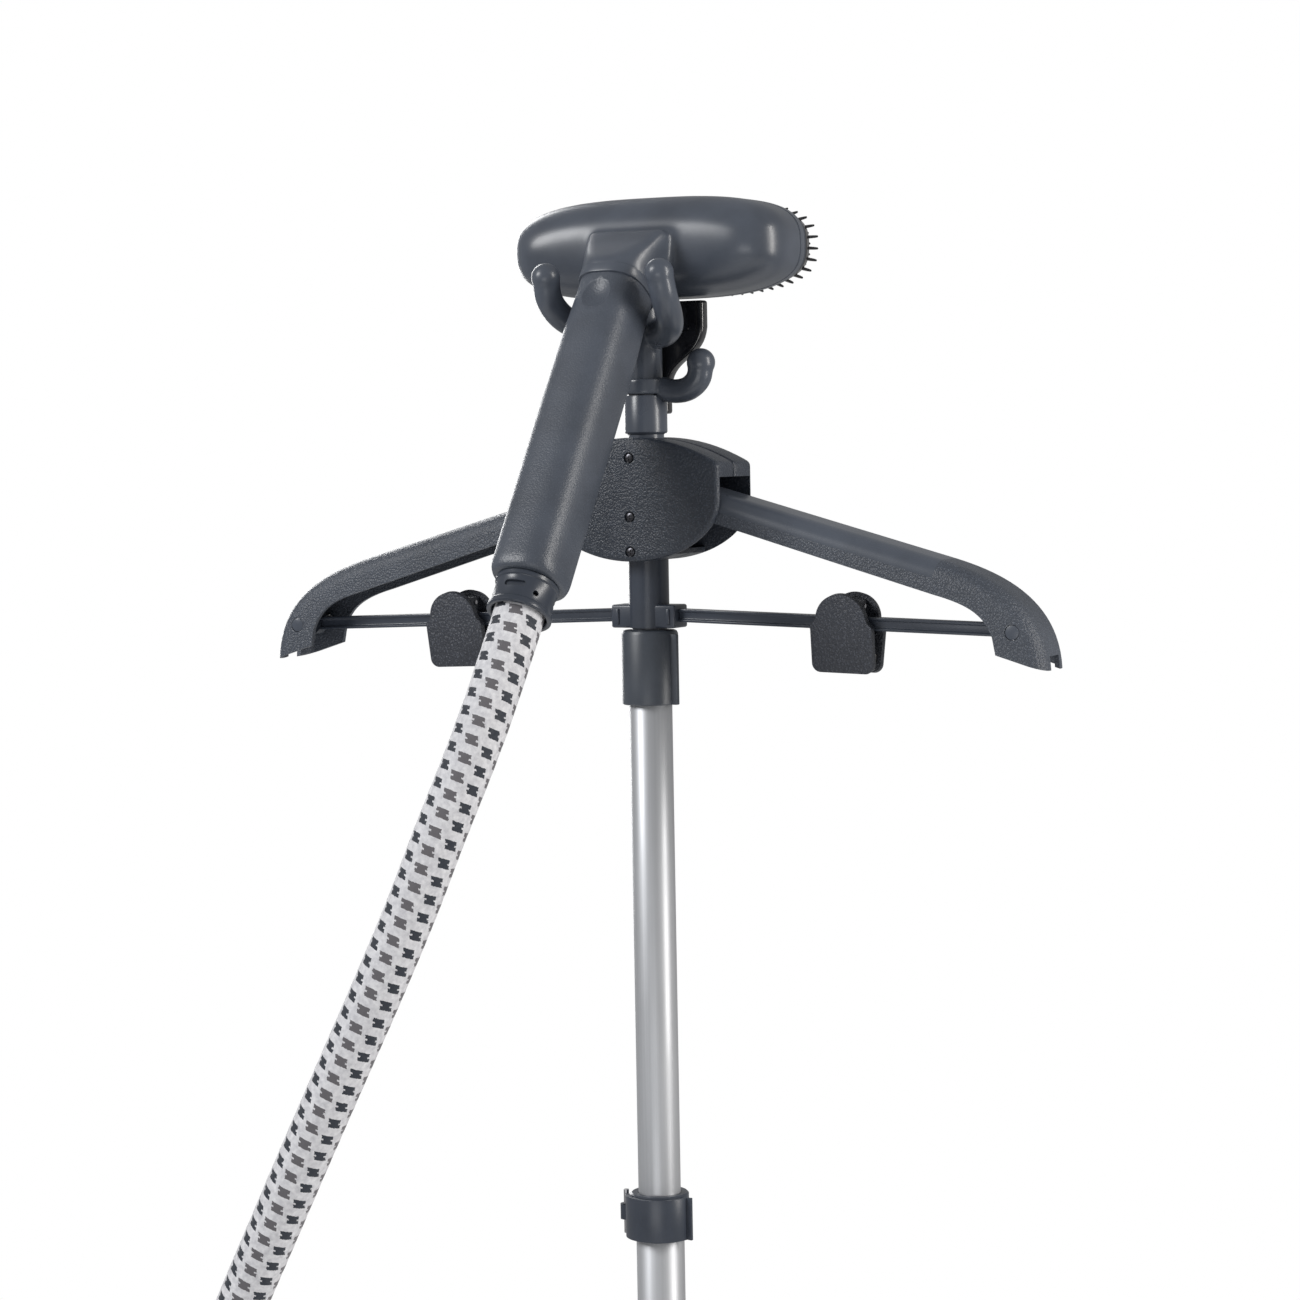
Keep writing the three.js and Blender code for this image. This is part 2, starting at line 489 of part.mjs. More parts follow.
// ---------------------------------------------------------------- hanger hub
function hubOutline(inset) {
  const half = HUB.half - inset;
  const shape = new THREE.Shape();
  shape.moveTo(-half, HUB.shoulder - inset);
  shape.lineTo(-half, 0);
  shape.absellipse(0, 0, half, HUB.bottom - inset, Math.PI, Math.PI * 2);
  shape.lineTo(half, HUB.shoulder - inset);
  shape.quadraticCurveTo(half * 0.5, HUB.top - inset, 0, HUB.top - inset);
  shape.quadraticCurveTo(-half * 0.5, HUB.top - inset, -half, HUB.shoulder - inset);
  return shape;
}
function buildHub() {
  const front = -HUB.depth / 2;
  const seam = 0;
  const openings = [-1, 1].map((side) => block(
    [Math.min(side * (HUB.half - 26), side * (HUB.half + 5)), -HUB.depth / 2 + WALL, -34],
    [Math.max(side * (HUB.half - 26), side * (HUB.half + 5)), HUB.depth / 2 - WALL, 11.5],
  ));
  const passages = [
    rodZ(STEM.radius + GAP, -HUB.bottom - 4, -20),
    rodZ(POST.neck + GAP, 20, HUB.top + 4),
    ...openings,
  ];
  const seats = SCREWS.map(([, z]) => rodY(SCREW.recess, front - 1, front + 1.2, 0, z));
  const shanks = SCREWS.map(([, z]) => rodY(SCREW.shank + GAP, front - 1, front + 8.2, 0, z, 12));
  const bosses = SCREWS.map(([, z]) => rodY(SCREW.boss, front + 1, front + 7.6, 0, z));
  const frontShell = join(
    cut(slab(hubOutline(0), front, seam - GAP / 2, 7), slab(hubOutline(WALL), front + WALL, 30, 7)),
    ...bosses,
  );
  place(top, 'hub_front', cut(
    frontShell,
    ...passages,
    ...seats,
    ...shanks,
  ), NAVY);
  const backShell = cut(
    slab(hubOutline(0), seam + GAP / 2, HUB.depth / 2, 7),
    slab(hubOutline(WALL), -30, HUB.depth / 2 - WALL, 7),
  );
  place(top, 'hub_back', cut(backShell, ...passages), NAVY);
  for (const [name, z] of SCREWS) {
    const headFront = front + 0.3;
    place(top, name, cut(
      join(
        rodY(SCREW.head, headFront, front + 1.2 - 0.05, 0, z),
        rodY(SCREW.shank, headFront + 0.5, front + SCREW.length, 0, z, 12),
      ),
      block([-1.4, headFront - 1, z - 0.3], [1.4, headFront + 0.6, z + 0.3]),
      block([-0.3, headFront - 1, z - 1.4], [0.3, headFront + 0.6, z + 1.4]),
    ), STEEL);
  }
}

// ---------------------------------------------------------------- arms, bars and stem
// The arm's side view: straight and slightly tapered, then curved down to a slanted tip.
function armOutline(side, skin) {
  const shape = new THREE.Shape();
  const at = (x, z) => [side * x, z];
  shape.moveTo(...at(ARM.rootX, 7.6 - skin));
  shape.lineTo(...at(166, -30.2 - skin));
  shape.bezierCurveTo(...at(194 - skin * 0.3, -38.4 - skin), ...at(219 - skin, -52 - skin * 0.6),
    ...at(220.5 - skin, -83.8));
  if (skin > 0) {
    shape.lineTo(...at(220.5 - skin, -84 - ARM.depth));
    shape.lineTo(...at(ARM.rootX - 5, -84 - ARM.depth));
    shape.lineTo(...at(ARM.rootX - 5, 9 - skin));
    return shape;
  }
  shape.lineTo(...at(196, -76.2));
  shape.lineTo(...at(194.3, -67.5));
  shape.bezierCurveTo(...at(190, -56), ...at(181, -51.5), ...at(164, -47));
  shape.lineTo(...at(113.7, -32));
  shape.lineTo(...at(62, -16.5));
  shape.lineTo(...at(ARM.rootX, -8));
  return shape;
}
function buildArm(side, label) {
  const half = ARM.depth / 2;
  const channel = slab(armOutline(side, WALL), -half + WALL, half - WALL, 6);
  const arm = cut(
    slab(armOutline(side, 0), -half, half, 6),
    channel,
    rodY(ARM.cap + GAP, -half - 1, half + 1, side * ARM.tipX, ARM.tipZ),
  );
  place(top, `arm_${label}`, arm, SLATE);
  const outline = new THREE.Shape([
    [BAR.innerX, BAR.innerZ + BAR.height / 2], [ARM.tipX, ARM.tipZ + BAR.height / 2],
    [ARM.tipX, ARM.tipZ - BAR.height / 2], [BAR.innerX, BAR.innerZ - BAR.height / 2],
  ].map(([x, z]) => new THREE.Vector2(side * x, z)));
  place(top, `bar_${label}`, cut(
    join(
      slab(outline, -BAR.depth / 2, BAR.depth / 2),
      rodY(BAR.eye, -BAR.depth / 2, BAR.depth / 2, side * ARM.tipX, ARM.tipZ),
    ),
    rodY(ARM.cap + GAP, -half, half, side * ARM.tipX, ARM.tipZ),
  ), NAVY);
  place(top, `bar_pin_${label}`, rodY(ARM.cap, -half, half, side * ARM.tipX, ARM.tipZ), SLATE);
}
function buildStem() {
  const lugs = block(
    [-STEM.lugX, -STEM.depth / 2, STEM.lugBottom], [STEM.lugX, STEM.depth / 2, STEM.lugTop],
  );
  place(top, 'stem', join(
    rodZ(STEM.flange, -26.8, -23.8),
    rodZ(STEM.radius, STEM.lugBottom, -24),
    rodZ(STEM.neck, COLLAR.bottom + 6, STEM.lugBottom + 1),
    lugs,
  ), NAVY);
}

// ---------------------------------------------------------------- trouser clips
function jawOutline() {
  const shape = new THREE.Shape();
  const corner = 4.5;
  shape.moveTo(-CLIP.foot + corner, CLIP.bottom);
  shape.lineTo(CLIP.foot - corner, CLIP.bottom);
  shape.quadraticCurveTo(CLIP.foot, CLIP.bottom, CLIP.foot, CLIP.bottom + corner);
  shape.lineTo(CLIP.shoulder, -3);
  shape.quadraticCurveTo(CLIP.disc, 0, CLIP.disc, CLIP.top - CLIP.disc);
  shape.absarc(0, CLIP.top - CLIP.disc, CLIP.disc, 0, Math.PI);
  shape.quadraticCurveTo(-CLIP.disc, 0, -CLIP.shoulder, -3);
  shape.lineTo(-CLIP.foot, CLIP.bottom + corner);
  shape.quadraticCurveTo(-CLIP.foot, CLIP.bottom, -CLIP.foot + corner, CLIP.bottom);
  return shape;
}
function tiltedPlate(side, solid) {
  return solid.rotate([-side * CLIP_TILT * 180 / Math.PI, 0, 0]).translate([0, side * CLIP_REACH, 0]);
}
function buildClip(side, label) {
  const clip = new THREE.Group();
  const run = (ARM.tipZ - BAR.innerZ) / (ARM.tipX - BAR.innerX);
  clip.position.set(side * CLIP.x, 0, BAR.innerZ + run * (CLIP.x - BAR.innerX));
  clip.rotation.y = -side * Math.atan(run);
  top.add(clip);
  const halfSheet = CLIP.sheet / 2;
  const jaw = (face) => tiltedPlate(face, slab(jawOutline(), -halfSheet, halfSheet, 3));
  const pad = (face) => tiltedPlate(face, face < 0
    ? block([-PAD.width / 2, halfSheet + 0.1, PAD.z - PAD.height / 2],
      [PAD.width / 2, halfSheet + PAD.thick, PAD.z + PAD.height / 2])
    : block([-PAD.width / 2, -halfSheet - PAD.thick, PAD.z - PAD.height / 2],
      [PAD.width / 2, -halfSheet - 0.1, PAD.z + PAD.height / 2]));
  const holeY = BAR.depth / 2 + GAP;
  const holeZ = BAR.height / 2 + GAP;
  const slider = cut(
    join(
      block(
        [-SLIDER.half, -holeY - SLIDER.thick, -holeZ - SLIDER.thick],
        [SLIDER.half, 9, holeZ + SLIDER.thick],
      ),
      rodX(CLIP_PIN.radius + 2, -SLIDER.half, SLIDER.half, 0, CLIP_PIN.z),
      block([-SLIDER.half, -2.6, holeZ], [SLIDER.half, 2.6, CLIP_PIN.z]),
    ),
    block([-SLIDER.half - 1, -holeY, -holeZ], [SLIDER.half + 1, holeY, holeZ]),
    block([0.5, -8, holeZ + SLIDER.thick + 0.2], [SLIDER.half - 0.6, 8, CLIP_PIN.z + 9]),
    rodX(CLIP_PIN.radius + GAP, -SLIDER.half - 1, SLIDER.half + 1, 0, CLIP_PIN.z, 12),
  );
  place(clip, `clip_rear_jaw_${label}`, join(jaw(1), slider), NAVY);
  const earX = SLIDER.half + GAP * 2;
  const ears = [-1, 1].map((edge) => join(
    block([Math.min(edge * earX, edge * (earX + SLIDER.ear)), -9.6, CLIP_PIN.z - 3],
      [Math.max(edge * earX, edge * (earX + SLIDER.ear)), 0, CLIP_PIN.z + 3]),
    rodX(CLIP_PIN.radius + 2, Math.min(edge * earX, edge * (earX + SLIDER.ear)),
      Math.max(edge * earX, edge * (earX + SLIDER.ear)), 0, CLIP_PIN.z),
  ));
  place(clip, `clip_front_jaw_${label}`, cut(
    join(jaw(-1), ...ears),
    rodX(CLIP_PIN.radius + GAP, -earX - 4, earX + 4, 0, CLIP_PIN.z, 12),
  ), NAVY);
  place(clip, `clip_front_pad_${label}`, pad(-1), PALE);
  place(clip, `clip_rear_pad_${label}`, pad(1), PALE);
  const pinHalf = SLIDER.half + SLIDER.ear + 1;
  place(clip, `clip_pin_${label}`, rodX(CLIP_PIN.radius, -pinHalf, pinHalf, 0, CLIP_PIN.z, 12), STEEL);
}

// ---------------------------------------------------------------- head holder
function buildHolder() {
  place(top, 'holder_sleeve', cut(
    join(
      rodZ(11.5, 25.2, 28.2),
      rodZ(POST.neck, 26, POST.sleeveLow + 1),
      turned([
        [0, POST.sleeveLow], [POST.sleeve - 1, POST.sleeveLow], [POST.sleeve, POST.sleeveLow + 1],
        [POST.sleeve, POST.sleeveHigh - 1], [POST.sleeve - 1, POST.sleeveHigh], [0, POST.sleeveHigh],
      ]),
    ),
    rodZ(POST.radius + GAP, POST.sleeveLow + 6, POST.sleeveHigh + 1),
  ), SLATE);
  const post = turned([
    [0, POST.sleeveLow + 6 + GAP], [POST.radius, POST.sleeveLow + 6 + GAP], [POST.radius, POST.top - 3],
    [POST.radius - 3, POST.top], [0, POST.top],
  ]);
  const horns = [-1, 1].map((side) => join(
    swept([
      [0, 2, 85], [side * 12, -5, 84], [side * 23, -17, 87], [side * 30, -31, 93],
      [side * 32.4, -41, 102], [side * 32, -45, 113],
    ], HORN.radius, 8, 9),
    ball(HORN.ball, [side * 32, -45, 113]),
  ));
  place(top, 'cradle', join(post, ...horns), SLATE);
  place(top, 'side_hook', cut(
    join(
      ringZ(POST.radius - 2, POST.sleeve + 0.6, HOOK.low, HOOK.high),
      swept([[9, 0, 57], [17, 0, 55.2], [25, 0, 56.6], [30.5, 0, 61.5], [32, 0, 69.4]], HOOK.radius, 8, 7),
      ball(HOOK.ball, [32, 0, 69.4]),
    ),
    rodZ(POST.radius + GAP, HOOK.low - 9, HOOK.high + 9),
    block([-40, -40, HOOK.low - 30], [16, 40, HOOK.low]),
  ), SLATE);
  const spade = new THREE.Shape();
  spade.moveTo(-REAR.neck, REAR.low);
  spade.lineTo(REAR.neck, REAR.low);
  spade.lineTo(REAR.neck, 56);
  spade.bezierCurveTo(REAR.neck + 2, 72, REAR.half - 4, 74, REAR.half, 86);
  spade.lineTo(REAR.half, REAR.top);
  spade.lineTo(-REAR.half, REAR.top);
  spade.lineTo(-REAR.half, 86);
  spade.bezierCurveTo(-REAR.half + 4, 74, -REAR.neck - 2, 72, -REAR.neck, 56);
  spade.closePath();
  const grooves = [-1, 1].map((side) => block(
    [side * 17 - 2.4, REAR.front - 1, 84], [side * 17 + 2.4, REAR.front + 1.6, REAR.top + 1],
  ));
  const rib = block([-3, POST.radius - 1, 64], [3, REAR.front + 1, 96]);
  place(top, 'rear_support', cut(
    join(slab(spade, REAR.front + GAP, REAR.front + REAR.thick, 8), rib),
    ...grooves,
    rodZ(POST.radius + GAP, 40, 110),
    rodZ(POST.sleeve + GAP + 0.6, 30, HOOK.high + GAP),
  ), BLACK);
}

// ---------------------------------------------------------------- steam head
function headPoint(inset, angle) {
  const swell = (value) => Math.sign(value) * Math.abs(value) ** (2 / HEAD.power);
  return [
    (HEAD.half - inset) * swell(Math.cos(angle)),
    (HEAD.low + HEAD.high) / 2 + ((HEAD.high - HEAD.low) / 2 - inset) * swell(Math.sin(angle)),
  ];
}
function headLoop(inset, count = HEAD.sides) {
  return Array.from({ length: count }, (_, i) => headPoint(inset, ((i + 0.5) / count) * Math.PI * 2));
}
function headSlab(inset, front, back) {
  return slab(new THREE.Shape(headLoop(inset).map(([x, z]) => new THREE.Vector2(x, z))), front, back);
}
// The head's solid: outlines stacked from its rounded back to its face. A positive grow moves every face out.
function headBody(grow) {
  const rows = [];
  for (let i = 0; i <= HEAD.rows; i += 1) {
    const angle = (i / HEAD.rows) * Math.PI / 2;
    rows.push([
      HEAD.round * (1 - Math.sin(angle)) - grow,
      HEAD.back - grow + HEAD.round * (1 - Math.cos(angle)),
    ]);
  }
  rows.push([-grow, HEAD.front + grow]);
  const points = rows.flatMap(([inset, y]) => headLoop(inset).map(([x, z]) => [x, y, z]));
  const faces = [];
  const sides = HEAD.sides;
  for (let row = 0; row + 1 < rows.length; row += 1) {
    for (let i = 0; i < sides; i += 1) {
      const a = row * sides + i;
      const b = row * sides + ((i + 1) % sides);
      faces.push([a, b, b + sides], [a, b + sides, a + sides]);
    }
  }
  const last = (rows.length - 1) * sides;
  for (let i = 1; i + 1 < sides; i += 1) faces.push([0, i + 1, i], [last, last + i, last + i + 1]);
  const geometry = new THREE.BufferGeometry();
  geometry.setAttribute('position', new THREE.Float32BufferAttribute(points.flat(), 3));
  geometry.setIndex(faces.flatMap(([a, b, c]) => [a, c, b]));
  return toSolid(geometry);
}
// Handle coordinates: Z up the grip from its lower end.
function handleSection(inset) {
  const x = HANDLE.width / 2 - inset;
  const y = HANDLE.depth / 2 - inset;
  return roundedShape(-x, x, -y, y, Math.min(x, y) - 3);
}
function inHandle(solid) {
  return solid.translate([0, -HANDLE.y, -HANDLE.z]).rotate([HANDLE.lean * 180 / Math.PI, 0, 0]);
}
function fromHandle(solid) {
  return solid.rotate([-HANDLE.lean * 180 / Math.PI, 0, 0]).translate([0, HANDLE.y, HANDLE.z]);
}
function buildHead() {
  const middle = (HEAD.low + HEAD.high) / 2;
  const { front } = HEAD;
  const shell = headBody(0);
  const cavity = headBody(-WALL);
  const pipeHole = fromHandle(rodZ(PIPE + 1.5, 100, HANDLE.length, 0, 0, 20));
  place(head, 'head_shell', cut(shell, cavity, headSlab(WALL, front - WALL - 1, front + 1), pipeHole), SLATE);
  place(head, 'trim_ring', cut(
    headSlab(FACE.ring, front + GAP, front + FACE.lip),
    headSlab(FACE.plate, front - 5, front + 20),
  ), PALE);
  const vents = [-2, -1, 0, 1, 2].flatMap((column) => [-8, 8].map((z) => (
    rodY(FACE.hole, front - 7, front + 20, column * 24, middle + z, 6)
  )));
  place(head, 'steam_plate', cut(
    join(
      headSlab(FACE.plate + GAP, front + GAP, front + FACE.lip),
      headSlab(FACE.backing, front - 6, front + 1),
    ),
    ...vents,
  ), STEEL);
  const brushFront = front + FACE.lip + GAP;
  const brushFace = brushFront + FACE.brushDepth;
  const bristles = headLoop(FACE.brush + FACE.rim / 2, 26).map(([x, z]) => block(
    [x - 0.8, brushFace - 1, z - 0.8], [x + 0.8, brushFace + FACE.bristle, z + 0.8],
  ));
  place(head, 'brush', join(
    cut(
      headSlab(FACE.brush, brushFront, brushFace),
      headSlab(FACE.brush + FACE.rim, brushFront - 1, brushFace + 1),
    ),
    ...bristles,
  ), BLACK);

  const recess = ball(18, [0, -HANDLE.depth / 2 - 15.2, 150], 6);
  const lip = HANDLE.lip;
  const grip = cut(
    join(
      raised(handleSection(0), lip, HANDLE.length, 4),
      raised(handleSection(1.2), 0, lip + 1, 4),
    ),
    raised(handleSection(WALL), lip + 8, HANDLE.length + 1, 3),
    rodZ(CUFF.bore + GAP, -1, lip + 9),
    recess,
    inHandle(headBody(GAP)),
    inHandle(block([-60, HEAD.back + 14, HEAD.low + 3], [60, 90, 260])),
    inHandle(block([-60, -60, HEAD.high - 14], [60, 90, 260])),
  );
  place(handleFrame, 'handle_grip', grip, SLATE);
  place(handleFrame, 'steam_pipe', rodZ(PIPE, 1, 182, 0, 0, 16), CORD);
  const slot = block([-6, -30, -9.1], [6, -CUFF.bore + 0.5, -5.6]);
  const slots = [0, 120, 240].map((turn) => slot.rotate([0, 0, turn]));
  place(handleFrame, 'hose_cuff', cut(
    turned([
      [0, -CUFF.length], [CUFF.ring, -CUFF.length], [CUFF.ring, -CUFF.length + 3],
      [CUFF.radius - 0.2, -CUFF.length + 3.5],
      [CUFF.radius - 0.4, -3], [CUFF.radius + 0.4, -2.6], [CUFF.radius + 0.4, -GAP],
      [CUFF.bore - GAP, -GAP], [CUFF.bore - GAP, CUFF.plug], [0, CUFF.plug],
    ], 24),
    rodZ(CUFF.bore, -CUFF.length - 1, -HOSE.inset),
    rodZ(PIPE + GAP, -30, 30, 0, 0, 16),
    ...slots,
  ), NAVY);
}

// ---------------------------------------------------------------- hose
function buildHose() {
  const steps = { upper: 11, lower: 16 };
  place(steamer, 'hose_upper', swept(HOSE_UPPER, HOSE.radius, HOSE.sides, steps.upper), CORD);
  place(steamer, 'hose_lower', swept(HOSE_LOWER, HOSE.radius, HOSE.sides, steps.lower), CORD);
}

buildBase();
buildPole();
buildHub();
buildArm(-1, 'left');
buildArm(1, 'right');
buildStem();
buildClip(-1, 'left');
buildClip(1, 'right');
buildHolder();
buildHead();
buildHose();

export default steamer;
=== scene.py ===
"""Looks of the garment steamer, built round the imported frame. Metres; shapes are given in millimetres."""
import json
import math

import bmesh
import bpy
from mathutils import Matrix, Vector


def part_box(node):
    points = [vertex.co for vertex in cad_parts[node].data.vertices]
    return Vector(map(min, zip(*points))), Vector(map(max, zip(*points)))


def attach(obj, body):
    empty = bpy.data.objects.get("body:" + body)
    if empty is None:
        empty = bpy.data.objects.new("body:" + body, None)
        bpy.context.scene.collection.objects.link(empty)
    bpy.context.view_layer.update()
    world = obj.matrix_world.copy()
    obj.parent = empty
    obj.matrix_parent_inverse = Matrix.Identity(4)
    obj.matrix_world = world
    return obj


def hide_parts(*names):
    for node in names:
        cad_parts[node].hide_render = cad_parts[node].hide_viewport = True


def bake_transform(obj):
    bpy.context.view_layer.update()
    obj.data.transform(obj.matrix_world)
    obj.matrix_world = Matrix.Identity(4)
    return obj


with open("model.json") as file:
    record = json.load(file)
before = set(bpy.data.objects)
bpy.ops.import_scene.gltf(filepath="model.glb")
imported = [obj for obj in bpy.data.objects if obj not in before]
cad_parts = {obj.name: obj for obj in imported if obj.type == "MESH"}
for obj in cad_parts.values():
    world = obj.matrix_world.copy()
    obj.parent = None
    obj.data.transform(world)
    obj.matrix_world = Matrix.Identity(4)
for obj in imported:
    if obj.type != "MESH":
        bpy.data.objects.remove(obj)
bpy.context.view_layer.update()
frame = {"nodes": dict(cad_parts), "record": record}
MM = 0.001

# ---------------------------------------------------------------- places read from the frame
POLE_LOW, POLE_HIGH = (Vector(p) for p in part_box("upper_pole"))
HUB_HIGH = Vector(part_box("hub_front")[1])
HUB_TOP = 32.0                     # hub's top above its centre
ORIGIN = Vector(((POLE_LOW.x + POLE_HIGH.x) / 2, (POLE_LOW.y + POLE_HIGH.y) / 2,
                 HUB_HIGH.z - HUB_TOP * MM))
LEAN = math.radians(34)            # handle's lean to the front
HANDLE_AT = Vector((0, -126, -37.5))
HANDLE_TURN = Matrix.Rotation(-LEAN, 4, "X")
TOP = Matrix.Translation(ORIGIN)
HANDLE = TOP @ Matrix.Translation(HANDLE_AT * MM) @ HANDLE_TURN


# ---------------------------------------------------------------- mesh helpers
def new_object(name, mesh):
    piece = bpy.data.objects.new(name, mesh)
    bpy.context.scene.collection.objects.link(piece)
    return piece


def from_lists(name, verts, faces, place=TOP):
    """A mesh from millimetre points in the given placed frame."""
    mesh = bpy.data.meshes.new(name)
    mesh.from_pydata([place @ (Vector(v) * MM) for v in verts], [], faces)
    mesh.update()
    work = bmesh.new()
    work.from_mesh(mesh)
    bmesh.ops.remove_doubles(work, verts=work.verts, dist=2e-6)
    bmesh.ops.recalc_face_normals(work, faces=work.faces)
    work.to_mesh(mesh)
    work.free()
    return new_object(name, mesh)


def bake(piece):
    """Applies the piece's modifiers."""
    bpy.context.view_layer.update()
    graph = bpy.context.evaluated_depsgraph_get()
    mesh = bpy.data.meshes.new_from_object(piece.evaluated_get(graph))
    piece.modifiers.clear()
    piece.data = mesh
    return piece


def smooth(piece, angle=32):
    mesh = piece.data
    mesh.polygons.foreach_set("use_smooth", [True] * len(mesh.polygons))
    mesh.set_sharp_from_angle(angle=math.radians(angle))
    return piece


def bevel(piece, width, segments=3, angle=34):
    mod = piece.modifiers.new("bevel", "BEVEL")
    mod.width = width * MM
    mod.segments = segments
    mod.limit_method = "ANGLE"
    mod.angle_limit = math.radians(angle)
    return bake(piece)


def carve(piece, *tools, operation="DIFFERENCE"):
    for tool in tools:
        mod = piece.modifiers.new("cut", "BOOLEAN")
        mod.operation = operation
        mod.object = tool
        mod.solver = "EXACT"
        bake(piece)
        bpy.data.objects.remove(tool)
    return piece


def melt(piece, voxel, rounds=6):
    """Welds overlapping shapes into one skin with soft joins."""
    mod = piece.modifiers.new("weld", "REMESH")
    mod.mode = "VOXEL"
    mod.voxel_size = voxel * MM
    mod.use_smooth_shade = True
    mod = piece.modifiers.new("soften", "SMOOTH")
    mod.factor = 0.5
    mod.iterations = rounds
    bake(piece)
    return smooth(piece, 80)


def merge(name, *pieces):
    work = bmesh.new()
    for piece in pieces:
        part = piece.data.copy()
        part.transform(piece.matrix_world)
        work.from_mesh(part)
        bpy.data.objects.remove(piece)
    mesh = bpy.data.meshes.new(name)
    work.to_mesh(mesh)
    work.free()
    return new_object(name, mesh)


def arc(cx, cy, rx, ry, start, end, steps):
    """Points on an ellipse, angles in degrees."""
    out = []
    for i in range(steps + 1):
        a = math.radians(start + (end - start) * i / steps)
        out.append((cx + rx * math.cos(a), cy + ry * math.sin(a)))
    return out


def bezier(a, b, c, d, steps=14):
    out = []
    for i in range(1, steps + 1):
        t = i / steps
        k = ((1 - t) ** 3, 3 * t * (1 - t) ** 2, 3 * t * t * (1 - t), t ** 3)
        out.append(tuple(sum(w * p[n] for w, p in zip(k, (a, b, c, d))) for n in (0, 1)))
    return out


def rounded(x0, x1, y0, y1, r, steps=8):
    return (arc(x1 - r, y0 + r, r, r, -90, 0, steps) + arc(x1 - r, y1 - r, r, r, 0, 90, steps)
            + arc(x0 + r, y1 - r, r, r, 90, 180, steps)
            + arc(x0 + r, y0 + r, r, r, 180, 270, steps))


def skin(rings, sides):
    """Quads between rings of points, ring after ring."""
    faces = []
    for i in range(rings - 1):
        for k in range(sides):
            n = (k + 1) % sides
            faces.append([i * sides + k, i * sides + n, (i + 1) * sides + n, (i + 1) * sides + k])
    return faces


def caps(rings, sides):
    """Faces that close the first ring and the last."""
    return [list(range(sides))[::-1], [(rings - 1) * sides + k for k in range(sides)]]


def prism(name, outline, low, high, along="Z", place=TOP):
    """An outline pushed from low to high along an axis; XZ outlines run along Y, YZ ones along X."""
    put = {
        "Z": lambda u, v, w: (u, v, w),
        "Y": lambda u, v, w: (u, w, v),
        "X": lambda u, v, w: (w, u, v),
    }[along]
    n = len(outline)
    verts = [put(u, v, low) for u, v in outline] + [put(u, v, high) for u, v in outline]
    return from_lists(name, verts, caps(2, n) + skin(2, n), place)


def brick(name, low, high, place=TOP):
    outline = [(low[0], low[1]), (high[0], low[1]), (high[0], high[1]), (low[0], high[1])]
    return prism(name, outline, low[2], high[2], "Z", place)


def turned(name, profile, place=TOP, sides=64):
    """A solid of revolution about Z from (radius, z) points that end on the axis or where they began."""
    verts = []
    for r, z in profile:
        for k in range(sides):
            a = 2 * math.pi * k / sides
            verts.append((r * math.cos(a), r * math.sin(a), z))
    return from_lists(name, verts, skin(len(profile), sides), place)


def cylinder(name, radius, low, high, place=TOP, sides=48):
    return turned(name, [(0, low), (radius, low), (radius, high), (0, high)], place, sides)


def facing(x, z):
    """The place of a piece whose own axis runs along Y."""
    return TOP @ Matrix.Translation(Vector((x, 0,
                                            z)) * MM) @ Matrix.Rotation(math.radians(-90), 4, "X")


def peg(name, radius, front, back, x, z, sides=32):
    """A pin along Y."""
    return cylinder(name, radius, front, back, facing(x, z), sides)


def spline(points, per=10):
    """A smooth line through the points, centripetal."""
    pts = [Vector(p) for p in points]
    pts = [pts[0] * 2 - pts[1]] + pts + [pts[-1] * 2 - pts[-2]]
    out = []
    for i in range(1, len(pts) - 2):
        p0, p1, p2, p3 = pts[i - 1:i + 3]
        t0 = 0.0
        t1 = t0 + (p1 - p0).length ** 0.5
        t2 = t1 + (p2 - p1).length ** 0.5
        t3 = t2 + (p3 - p2).length ** 0.5
        for k in range(per):
            t = t1 + (t2 - t1) * k / per
            a1 = p0 * ((t1 - t) / (t1 - t0)) + p1 * ((t - t0) / (t1 - t0))
            a2 = p1 * ((t2 - t) / (t2 - t1)) + p2 * ((t - t1) / (t2 - t1))
            a3 = p2 * ((t3 - t) / (t3 - t2)) + p3 * ((t - t2) / (t3 - t2))
            b1 = a1 * ((t2 - t) / (t2 - t0)) + a2 * ((t - t0) / (t2 - t0))
            b2 = a2 * ((t3 - t) / (t3 - t1)) + a3 * ((t - t1) / (t3 - t1))
            out.append(b1 * ((t2 - t) / (t2 - t1)) + b2 * ((t - t1) / (t2 - t1)))
    out.append(pts[-2])
    return out


